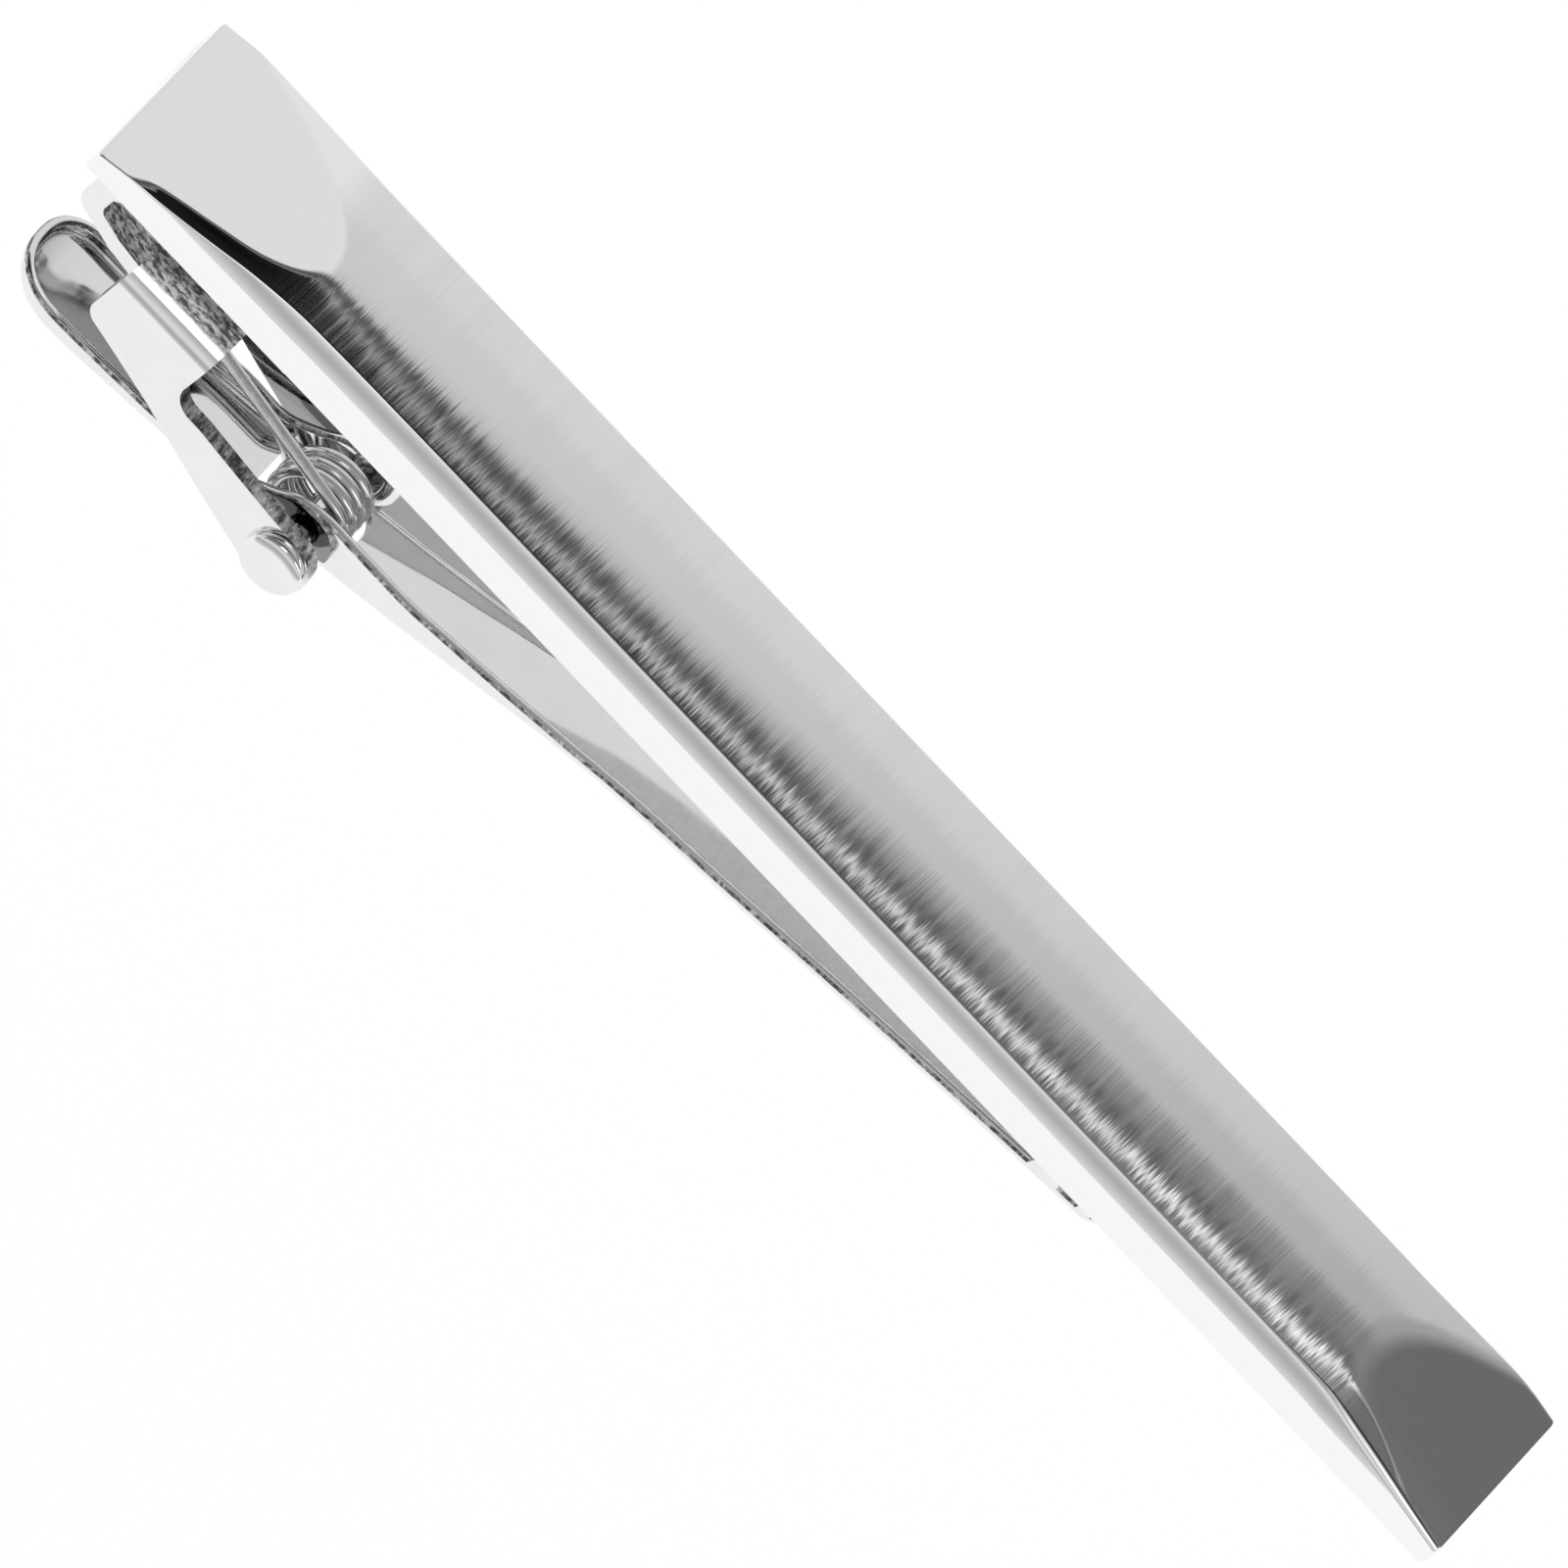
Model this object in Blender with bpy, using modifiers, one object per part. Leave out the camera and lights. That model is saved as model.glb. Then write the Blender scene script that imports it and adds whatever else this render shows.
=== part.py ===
"""Tie clip with a sprung pinch clasp, at rest (closed), in metres with +Z up.

X runs along the bar from the clasp end to the free end, Z points out of the
bar's domed front and the clasp hangs on its back, on the -Z side. The world
origin lies on the flat back of the bar, halfway along it.
"""

import math

import bmesh
import bpy
import numpy as np
from mathutils import Matrix, Vector

MM = 0.001

# Bar
BAR_LENGTH = 60.0 * MM
BAR_WIDTH = 6.5 * MM
BAR_WALL = 2.2 * MM
BAR_CROWN = 0.7 * MM
BEVEL_DEPTH_CLASP = 1.545 * MM
BEVEL_DEPTH_FREE = 1.48 * MM
BEVEL_SLOPE_CLASP = 0.22
BEVEL_SLOPE_FREE = 0.255
BEVEL_TILT_CLASP = 0.168
BEVEL_TILT_FREE = 0.126
BEVEL_ROLL_FREE = 0.045
BEVEL_ROLL_INSET = 1.1 * MM
BEVEL_ROLL_REACH = 0.8 * MM
FLANK_INSET = 0.25 * MM
FLANK_REACH = 1.60 * MM
BAR_GRID_ALONG = 96
BAR_GRID_ACROSS = 20

# Hinge bracket
BRACKET_WIDTH = 5.5 * MM
BRACKET_SHEET = 0.6 * MM
BRACKET_START = 0.65 * MM
BRACKET_LEAF_END = 9.0 * MM
WEB_DROP = 2.05 * MM
WEB_END = 7.45 * MM
BEND_OUTER_RADIUS = 1.4 * MM
EAR_END_RADIUS = 1.2 * MM
SOLDER_GAP = 0.02 * MM

# Hinge pin
PIN_FROM_END = 13.35 * MM
PIN_DROP = 7.04 * MM
PIN_DIAMETER = 1.0 * MM
PIN_CLEARANCE = 0.05 * MM
HEAD_DIAMETER = 2.27 * MM
HEAD_HEIGHT = 0.45 * MM
HEAD_GAP = 0.03 * MM

# Clasp lever
LEVER_SHEET = 0.36 * MM
ARM_CLEARANCE = 0.40 * MM
PAD_CLEARANCE = 0.15 * MM
PAD_START = 1.0 * MM
ARM_END = 46.2 * MM
LUG_RADIUS = 0.95 * MM
WINDOW_PLAY_BACK = 0.20 * MM
WINDOW_PLAY_FRONT = 0.25 * MM
JAW_START = 42.9 * MM
JAW_GAP = 0.03 * MM
NOTCH_FLOOR = 2.05 * MM

# Torsion spring
WIRE_DIAMETER = 0.45 * MM
COIL_PLAY = 0.65 * MM
COIL_SHIFT_X = -0.35 * MM
COIL_SHIFT_Z = 0.40 * MM
COIL_SIDE_PLAY = 0.10 * MM
PITCH_PER_WIRE = 1.15
LEG_GAP = 0.03 * MM

RING = 40

# How far the bar's lower long edge falls, by distance from the clasp end and from the free end,
# both in millimetres.
FLANK_FALL_CLASP = (
    (0.0, 1.42), (0.4, 1.26), (2.25, 1.00), (4.05, 0.67), (5.85, 0.33), (7.66, 0.12),
    (9.5, 0.05), (14.0, 0.0),
)
FLANK_FALL_FREE = (
    (0.0, 0.95),
    (1.5, 0.72),
    (2.7, 0.54),
    (3.9, 0.38),
    (4.5, 0.29),
    (5.2, 0.17),
    (6.0, 0.06),
    (7.0, 0.01),
    (9.0, 0.0),
)

HALF_LENGTH = BAR_LENGTH / 2.0
PIN_X = PIN_FROM_END - HALF_LENGTH
PIN_Z = -PIN_DROP
EAR_OUTER = BRACKET_WIDTH / 2.0
EAR_INNER = EAR_OUTER - BRACKET_SHEET
ARM_WIDTH = 2.0 * (EAR_INNER - ARM_CLEARANCE)
PAD_WIDTH = 2.0 * (EAR_INNER - PAD_CLEARANCE)
COIL_OUTER = PIN_DIAMETER / 2.0 + COIL_PLAY + WIRE_DIAMETER
WINDOW_START = PIN_FROM_END + COIL_SHIFT_X - COIL_OUTER - WINDOW_PLAY_BACK
WINDOW_END = PIN_FROM_END + COIL_SHIFT_X + COIL_OUTER + WINDOW_PLAY_FRONT
COIL_ROOM = ARM_WIDTH - 2.0 * (LEVER_SHEET + COIL_SIDE_PLAY) - WIRE_DIAMETER
COIL_TURNS = math.floor(COIL_ROOM / (PITCH_PER_WIRE * WIRE_DIAMETER)) - 0.5
WEB_TOP = -WEB_DROP
WEB_BOTTOM = WEB_TOP - BRACKET_SHEET

# Underside of the lever, as distance from the clasp end and drop below the bar, in millimetres,
# drawn for a pin at STATION_PIN_DROP.
STATION_PIN_DROP = 7.04
LEVER_UNDERSIDE = (
    (0.9, 7.95), (2.0, 8.25), (3.5, 8.37), (5.5, 8.20), (7.2, 8.00), (9.0, 7.78), (11.0, 7.60),
    (13.35, 7.30), (14.7, 7.04), (16.2, 6.72), (18.4, 6.20), (20.7, 5.61), (23.0, 5.05),
    (25.2, 4.63), (30.0, 4.06), (36.0, 3.34), (42.0, 2.68), (44.5, 2.44), (46.3, 2.30),
)
# Rim of the lever's upturned edges, in the same two distances.
LEVER_RIM = (
    (0.9, 7.30), (3.0, 7.42), (6.0, 7.30), (9.0, 7.02), (10.6, 6.75), (11.6, 6.10), (12.4, 5.42),
    (13.3, 5.12), (15.0, 5.10), (16.7, 5.12), (19.1, 4.88), (21.0, 4.62), (24.6, 4.10),
    (30.0, 3.58), (36.6, 2.90), (41.6, 2.36), (42.2, 2.26),
)


def clear_scene():
    for obj in list(bpy.data.objects):
        bpy.data.objects.remove(obj, do_unlink=True)


def collection(name, hidden=False):
    made = bpy.data.collections.new(name)
    bpy.context.scene.collection.children.link(made)
    made.hide_render = hidden
    return made


def material(name, colour, metallic, roughness):
    made = bpy.data.materials.new(name)
    made.use_nodes = True
    shader = made.node_tree.nodes["Principled BSDF"]
    shader.inputs["Base Color"].default_value = (*colour, 1.0)
    shader.inputs["Metallic"].default_value = metallic
    shader.inputs["Roughness"].default_value = roughness
    made.diffuse_color = (*colour, 1.0)
    return made


def object_from_bmesh(name, mesh_data, target):
    mesh = bpy.data.meshes.new(name)
    bmesh.ops.recalc_face_normals(mesh_data, faces=mesh_data.faces)
    mesh_data.to_mesh(mesh)
    mesh_data.free()
    obj = bpy.data.objects.new(name, mesh)
    target.objects.link(obj)
    return obj


def smooth_curve(points, count):
    """Cubic Hermite curve through (position, value) points, slopes from their neighbours."""
    points = np.array(points, dtype=float)
    x, y = points[:, 0], points[:, 1]
    secant = np.diff(y) / np.diff(x)
    slope = np.empty_like(y)
    slope[0] = secant[0]
    slope[-1] = secant[-1]
    slope[1:-1] = np.where(
        secant[:-1] * secant[1:] > 0, (secant[:-1] + secant[1:]) / 2.0, 0.0
    )
    at = np.linspace(x[0], x[-1], count)
    cell = np.clip(np.searchsorted(x, at, side="right") - 1, 0, len(x) - 2)
    width = x[cell + 1] - x[cell]
    t = (at - x[cell]) / width
    value = (
        (2 * t**3 - 3 * t**2 + 1) * y[cell]
        + (t**3 - 2 * t**2 + t) * width * slope[cell]
        + (3 * t**2 - 2 * t**3) * y[cell + 1]
        + (t**3 - t**2) * width * slope[cell + 1]
    )
    return np.column_stack((at, value))


def arc(centre, radius, start, end, steps):
    """Points of a circular arc, angles in degrees."""
    angles = np.radians(np.linspace(start, end, steps))
    return [
        (centre[0] + radius * math.cos(a), centre[1] + radius * math.sin(a)) for a in angles
    ]


def prism(name, outline, axis, low, high, target):
    """A closed outline extruded along one axis, from low to high."""
    mesh_data = bmesh.new()
    place = {
        "Y": lambda u, v: (u, low, v),
        "Z": lambda u, v: (u, v, low),
        "X": lambda u, v: (low, u, v),
    }[axis]
    step = {"X": (1, 0, 0), "Y": (0, 1, 0), "Z": (0, 0, 1)}[axis]
    face = mesh_data.faces.new([mesh_data.verts.new(place(u, v)) for u, v in outline])
    grown = bmesh.ops.extrude_face_region(mesh_data, geom=[face])
    moved = [item for item in grown["geom"] if isinstance(item, bmesh.types.BMVert)]
    bmesh.ops.translate(mesh_data, verts=moved, vec=Vector(step) * (high - low))
    return object_from_bmesh(name, mesh_data, target)


def cylinder_y(name, x, z, radius, half_length, target, segments=RING):
    mesh_data = bmesh.new()
    bmesh.ops.create_cone(
        mesh_data,
        cap_ends=True,
        segments=segments,
        radius1=radius,
        radius2=radius,
        depth=2.0 * half_length,
        matrix=Matrix.Translation((x, 0.0, z)) @ Matrix.Rotation(math.pi / 2.0, 4, "X"),
    )
    return object_from_bmesh(name, mesh_data, target)


def combine(obj, other, operation):
    """Applies one exact Boolean and keeps its result as the object's mesh."""
    modifier = obj.modifiers.new(operation.title(), "BOOLEAN")
    modifier.operation = operation
    modifier.solver = "EXACT"
    modifier.object = other
    bpy.context.view_layer.update()
    graph = bpy.context.evaluated_depsgraph_get()
    made = bpy.data.meshes.new_from_object(obj.evaluated_get(graph))
    obj.modifiers.clear()
    old = obj.data
    obj.data = made
    bpy.data.meshes.remove(old)


def finish(obj, name, surface, smooth_angle=None):
    """Names the node, gives it its material and cleans its mesh."""
    mesh_data = bmesh.new()
    mesh_data.from_mesh(obj.data)
    bmesh.ops.remove_doubles(mesh_data, verts=mesh_data.verts, dist=0.002 * MM)
    bmesh.ops.dissolve_degenerate(mesh_data, edges=mesh_data.edges, dist=0.001 * MM)
    bmesh.ops.triangulate(mesh_data, faces=[f for f in mesh_data.faces if len(f.verts) > 4])
    bmesh.ops.recalc_face_normals(mesh_data, faces=mesh_data.faces)
    if smooth_angle is not None:
        for face in mesh_data.faces:
            face.smooth = True
        for edge in mesh_data.edges:
            edge.smooth = len(edge.link_faces) == 2 and edge.calc_face_angle(0.0) < smooth_angle
    mesh_data.to_mesh(obj.data)
    mesh_data.free()
    obj.data.materials.clear()
    obj.data.materials.append(surface)
    obj.name = name
    obj.data.name = name
    return obj


def set_origin(obj, point):
    """Moves the object's origin without moving its mesh in the world."""
    point = Vector(point)
    obj.data.transform(Matrix.Translation(-point))
    obj.location = point


def flank_fall(distance, stations):
    """How far the lower long edge has fallen at a distance from one end."""
    curve = smooth_curve(stations, 200)
    return np.interp(distance / MM, curve[:, 0], curve[:, 1]) * MM


def bar_front_height(x, y):
    """Height of the bar's front: the dome with its lower flank falling at both ends, cut there
    by two bevel planes that tilt towards that flank; the free end's one rolls down to it."""
    half = BAR_WIDTH / 2.0
    t = np.clip((-y - (half - FLANK_INSET - FLANK_REACH)) / FLANK_REACH, 0.0, 1.0)
    flank = t * t * (3.0 - 2.0 * t)
    height = BAR_WALL + BAR_CROWN * (1.0 - (y / half) ** 2)
    height -= flank * flank_fall(x + HALF_LENGTH, FLANK_FALL_CLASP)
    height -= flank * flank_fall(HALF_LENGTH - x, FLANK_FALL_FREE)
    top = BAR_WALL + BAR_CROWN
    clasp = top - BEVEL_DEPTH_CLASP + BEVEL_SLOPE_CLASP * (x + HALF_LENGTH) + BEVEL_TILT_CLASP * y
    free = top - BEVEL_DEPTH_FREE + BEVEL_SLOPE_FREE * (HALF_LENGTH - x) + BEVEL_TILT_FREE * y
    rolled = np.clip(-y - (half - BEVEL_ROLL_INSET), 0.0, None) / MM
    free -= BEVEL_ROLL_FREE * (HALF_LENGTH - x + BEVEL_ROLL_REACH) * rolled**2
    return np.minimum(height, np.minimum(clasp, free))


def build_bar(target, surface):
    """A grid raised to the front's height, then extruded down to the flat back."""
    mesh_data = bmesh.new()
    bmesh.ops.create_grid(
        mesh_data, x_segments=BAR_GRID_ALONG, y_segments=BAR_GRID_ACROSS, size=1.0
    )
    # Rows crowd towards the ends and the edges, where the shape changes.
    place = np.array([vert.co[:2] for vert in mesh_data.verts], dtype=float)
    x = HALF_LENGTH * (1.45 * place[:, 0] - 0.45 * place[:, 0] ** 3)
    y = BAR_WIDTH / 2.0 * (1.35 * place[:, 1] - 0.35 * place[:, 1] ** 3)
    for vert, point in zip(mesh_data.verts, zip(x, y, bar_front_height(x, y))):
        vert.co = point
    grown = bmesh.ops.extrude_face_region(mesh_data, geom=list(mesh_data.faces))
    for item in grown["geom"]:
        if isinstance(item, bmesh.types.BMVert):
            item.co.z = 0.0
    flat = [f for f in mesh_data.faces if max(abs(v.co.z) for v in f.verts) < 1e-9]
    bmesh.ops.dissolve_faces(mesh_data, faces=flat)
    bar = object_from_bmesh("front_bar", mesh_data, target)
    return finish(bar, "front_bar", surface, math.radians(20.0))


def shift(points):
    """Outline points in millimetres from the clasp end, as world X and Z in metres."""
    return [(x * MM - HALF_LENGTH, z * MM) for x, z in points]


def bracket_strip_outline():
    """Side view of the folded strip: the soldered leaf, the square bend and the web."""
    start = BRACKET_START / MM
    leaf_end = BRACKET_LEAF_END / MM
    sheet = BRACKET_SHEET / MM
    web = WEB_TOP / MM
    gap = SOLDER_GAP / MM
    post = start + 0.85
    outer_corner = arc((start + 0.75, web - sheet + 1.30), 0.75, 180.0, 262.0, 9)
    inner_corner = arc((post + 0.35, web + 0.75), 0.35, 262.0, 180.0, 7)
    points = [(leaf_end, -gap), (start + 0.4, -gap)]
    points += arc((start + 0.4, -gap - 0.4), 0.4, 100.0, 180.0, 6)
    points += outer_corner
    points += [(start + 1.9, web - sheet + 0.16), (start + 2.95, web - sheet), (4.6, web - sheet)]
    points += [(4.6, web), (start + 2.95, web), (start + 1.9, web + 0.16)]
    points += inner_corner
    points += [(post, -gap - sheet - 0.2), (post + 0.2, -gap - sheet), (leaf_end, -gap - sheet)]
    return shift(points)


def ear_outline():
    """Side view of the two ears with the web between them."""
    web = WEB_TOP / MM
    web_end = WEB_END / MM
    pin_x = PIN_FROM_END / MM
    pin_z = PIN_Z / MM
    radius = EAR_END_RADIUS / MM
    reach = pin_z - web
    points = [(3.57, web + 0.5), (3.57, web + 0.541 * reach)]
    points += arc((4.20, web + 0.551 * reach), 0.63, 190.0, 262.0, 7)
    points += [(5.20, web + 0.735 * reach), (7.06, web + 0.842 * reach)]
    points += [(8.92, web + 0.972 * reach), (10.2, web + 1.058 * reach)]
    points += arc((pin_x, pin_z), radius, 250.0, 362.0, 20)
    points += arc((pin_x, pin_z), radius, 10.0, 84.0, 10)
    points += [(10.8, web + 0.707 * reach), (8.75, web + 0.657 * reach)]
    points += arc((web_end + 0.80, web + 0.491 * reach), 0.82, 268.0, 184.0, 9)
    points += [(web_end, web - 1.4), (web_end, web + 0.5)]
    return shift(points)


def ear_section():
    """Cross-section of the web and its two turned-down ears, with rounded bends."""
    outer = EAR_OUTER
    inner = EAR_INNER
    bend = BEND_OUTER_RADIUS
    inside = max(bend - BRACKET_SHEET, 0.08 * MM)
    low = PIN_Z - 3.0 * MM
    right = arc((outer - bend, WEB_TOP - bend), bend, 90.0, 0.0, 10)
    left = [(-u, v) for u, v in reversed(right)]
    hollow_right = arc((inner - inside, WEB_BOTTOM - inside), inside, 0.0, 90.0, 6)
    hollow_left = [(-u, v) for u, v in reversed(hollow_right)]
    points = left + right + [(outer, low), (inner, low)]
    points += hollow_right + hollow_left + [(-inner, low), (-outer, low)]
    return points


def build_bracket(target, cutters, surface):
    """The ears are a bent channel cut to the ear outline, joined to the folded strip."""
    channel = prism(
        "ear_channel", ear_section(), "X", -HALF_LENGTH + 3.0 * MM, PIN_X + 3.0 * MM, target
    )
    side = prism("ear_side", ear_outline(), "Y", -2.0 * EAR_OUTER, 2.0 * EAR_OUTER, cutters)
    combine(channel, side, "INTERSECT")
    hole = cylinder_y(
        "ear_hole", PIN_X, PIN_Z, PIN_DIAMETER / 2.0 + PIN_CLEARANCE, 2.0 * EAR_OUTER, cutters
    )
    combine(channel, hole, "DIFFERENCE")
    strip = prism(
        "bracket_strip", bracket_strip_outline(), "Y",
        -EAR_OUTER + 0.01 * MM, EAR_OUTER - 0.01 * MM, cutters,
    )
    relief = 0.9 * BEND_OUTER_RADIUS
    trim_low = 3.57 * MM - HALF_LENGTH
    for side_sign in (-1.0, 1.0):
        edge = side_sign * (EAR_OUTER + 1.0 * MM)
        inside = side_sign * (EAR_OUTER - relief)
        corner = prism(
            "bend_relief", [(trim_low, WEB_TOP + 0.3 * MM), (trim_low + 2.0 * MM, WEB_TOP + 0.3 * MM),
                            (trim_low + 2.0 * MM, WEB_BOTTOM - 0.3 * MM),
                            (trim_low, WEB_BOTTOM - 0.3 * MM)],
            "Y", min(edge, inside), max(edge, inside), cutters,
        )
        combine(strip, corner, "DIFFERENCE")
    combine(channel, strip, "UNION")
    return finish(channel, "hinge_bracket", surface, math.radians(25.0))


def build_pin(target, surface):
    """Half the rivet's outline turned about the hinge axis by a Screw modifier."""
    half = EAR_OUTER + HEAD_GAP
    radius = PIN_DIAMETER / 2.0
    head = HEAD_DIAMETER / 2.0
    rim = 0.55 * HEAD_HEIGHT
    dome = [
        (head * math.cos(a), half + rim + (HEAD_HEIGHT - rim) * math.sin(a))
        for a in np.radians(np.linspace(90.0, 0.0, 9))
    ]
    top = [(max(r, 0.0), z) for r, z in dome]
    top[0] = (0.0, top[0][1])
    profile = top + [(head, half), (radius, half)]
    profile += [(r, -z) for r, z in reversed(profile)]
    mesh = bpy.data.meshes.new("hinge_pin")
    mesh.from_pydata(
        [(r, 0.0, z) for r, z in profile], [(i, i + 1) for i in range(len(profile) - 1)], []
    )
    pin = bpy.data.objects.new("hinge_pin", mesh)
    target.objects.link(pin)
    screw = pin.modifiers.new("Screw", "SCREW")
    screw.axis = "Z"
    screw.steps = RING
    screw.render_steps = RING
    screw.use_merge_vertices = True
    screw.merge_threshold = 0.00001
    screw.use_normal_calculate = True
    bpy.context.view_layer.update()
    graph = bpy.context.evaluated_depsgraph_get()
    turned = bpy.data.meshes.new_from_object(pin.evaluated_get(graph))
    pin.modifiers.clear()
    pin.data = turned
    pin.data.transform(Matrix.Rotation(math.pi / 2.0, 4, "X"))
    finish(pin, "hinge_pin", surface, math.radians(35.0))
    pin.location = (PIN_X, 0.0, PIN_Z)
    return pin


def lever_curve(stations, count):
    """Lever stations as a curve that follows the pin's drop at the pad and not at the jaw."""
    curve = smooth_curve(stations, count)
    share = (ARM_END / MM - curve[:, 0]) * MM / (ARM_END - PIN_FROM_END)
    curve[:, 1] += (PIN_DROP / MM - STATION_PIN_DROP) * np.clip(share, 0.0, 1.0)
    return curve


def lever_plan(inset):
    """Plan of the lever, seen along Z: a rounded thumb pad, a waist and a rounded jaw."""
    pad = PAD_WIDTH / 2.0 - inset
    arm = ARM_WIDTH / 2.0 - inset
    start = PAD_START + inset
    end = ARM_END - inset
    pad_run = 2.4 * MM - inset
    jaw_run = 1.3 * MM - inset
    side = []
    for a in np.radians(np.linspace(180.0, 92.0, 16)):
        shape = 2.0 / 2.5
        u = start + pad_run + math.copysign(abs(math.cos(a)) ** shape, math.cos(a)) * pad_run
        side.append((u, pad * math.sin(a) ** shape))
    side += [(7.5 * MM, pad), (8.6 * MM, pad - 0.02 * (pad - arm) / 0.25)]
    for t in np.linspace(0.15, 1.0, 7):
        ease = t * t * (3.0 - 2.0 * t)
        side.append((8.6 * MM + t * 2.2 * MM, pad + (arm - pad) * ease))
    side.append((JAW_START, arm))
    for a in np.radians(np.linspace(80.0, 0.0, 11)):
        side.append((end - jaw_run + jaw_run * math.cos(a), arm * math.sin(a) ** 0.8))
    outline = [(u - HALF_LENGTH, v) for u, v in side]
    return outline + [(u, -v) for u, v in reversed(outline[1:-1])]


def lever_side():
    """Side view of the lever's full height, with the hinge lugs and the toothed jaw."""
    under = [
        (x - HALF_LENGTH / MM, -drop) for x, drop in lever_curve(LEVER_UNDERSIDE, 110)
    ]
    rim = [(x - HALF_LENGTH / MM, -drop) for x, drop in lever_curve(LEVER_RIM, 90)]
    pin = (PIN_X / MM, PIN_Z / MM)
    reach = LUG_RADIUS / MM
    lug = arc(pin, reach, 208.0, 332.0, 16)
    bottom = [p for p in under if p[0] < lug[0][0]] + lug
    bottom += [p for p in under if p[0] > lug[-1][0]]
    jaw = (JAW_START - HALF_LENGTH) / MM
    top = -JAW_GAP / MM
    tooth = -NOTCH_FLOOR / MM
    end = under[-1][0] + 0.3
    crown = [
        (jaw, -1.75), (jaw + 0.35, top - 0.25), (jaw + 0.55, top),
        (jaw + 0.85, top), (jaw + 1.00, tooth), (jaw + 1.95, tooth), (jaw + 2.10, top),
        (jaw + 2.30, top), (jaw + 2.50, tooth - 0.1), (jaw + 2.70, top), (end, top),
    ]
    outline = bottom + [(end, bottom[-1][1])] + list(reversed(rim + crown))
    return [(x * MM, z * MM) for x, z in outline]


def lever_hollow():
    """Side view of everything above the lever's floor."""
    floor = [
        (x - HALF_LENGTH / MM, -drop + LEVER_SHEET / MM)
        for x, drop in lever_curve(LEVER_UNDERSIDE, 110)
    ]
    first, last = floor[0], floor[-1]
    outline = [(first[0] - 1.0, first[1])] + floor + [(last[0] + 1.0, last[1])]
    outline += [(last[0] + 1.0, 2.0), (first[0] - 1.0, 2.0)]
    return [(x * MM, z * MM) for x, z in outline]


def build_lever(target, cutters, surface):
    """One bent sheet: its outer block less its hollow, its window, its hole and its notches."""
    wide = PAD_WIDTH
    lever = prism("clasp_lever", lever_side(), "Y", -wide, wide, target)
    plan = prism("lever_plan", lever_plan(0.0), "Z", -12.0 * MM, 1.0 * MM, cutters)
    combine(lever, plan, "INTERSECT")
    hollow = prism("lever_hollow", lever_hollow(), "Y", -wide, wide, cutters)
    inner = prism("lever_inner", lever_plan(LEVER_SHEET), "Z", -12.0 * MM, 1.5 * MM, cutters)
    combine(hollow, inner, "INTERSECT")
    combine(lever, hollow, "DIFFERENCE")
    half = ARM_WIDTH / 2.0 - LEVER_SHEET
    low, high = WINDOW_START - HALF_LENGTH, WINDOW_END - HALF_LENGTH
    corner = 0.8 * MM
    window = [(low, -half), (high - corner, -half)]
    window += [(high - corner * (1 - math.sin(a)), -half + corner * (1 - math.cos(a)))
               for a in np.radians(np.linspace(15.0, 75.0, 5))]
    window += [(high, -half + corner), (high, half - corner)]
    window += [(high - corner * (1 - math.cos(a)), half - corner * (1 - math.sin(a)))
               for a in np.radians(np.linspace(15.0, 75.0, 5))]
    window += [(high - corner, half), (low, half)]
    opening = prism("floor_window", window, "Z", -12.0 * MM, PIN_Z + 1.14 * MM, cutters)
    combine(lever, opening, "DIFFERENCE")
    hole = cylinder_y(
        "lever_hole", PIN_X, PIN_Z, PIN_DIAMETER / 2.0 + PIN_CLEARANCE, wide, cutters
    )
    combine(lever, hole, "DIFFERENCE")
    finish(lever, "clasp_lever", surface, math.radians(25.0))
    set_origin(lever, (PIN_X, 0.0, PIN_Z))
    return lever


def underside_at(x):
    """World Z of the lever's underside at a world X."""
    curve = lever_curve(LEVER_UNDERSIDE, 400)
    return -float(np.interp((x + HALF_LENGTH) / MM, curve[:, 0], curve[:, 1])) * MM


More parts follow.
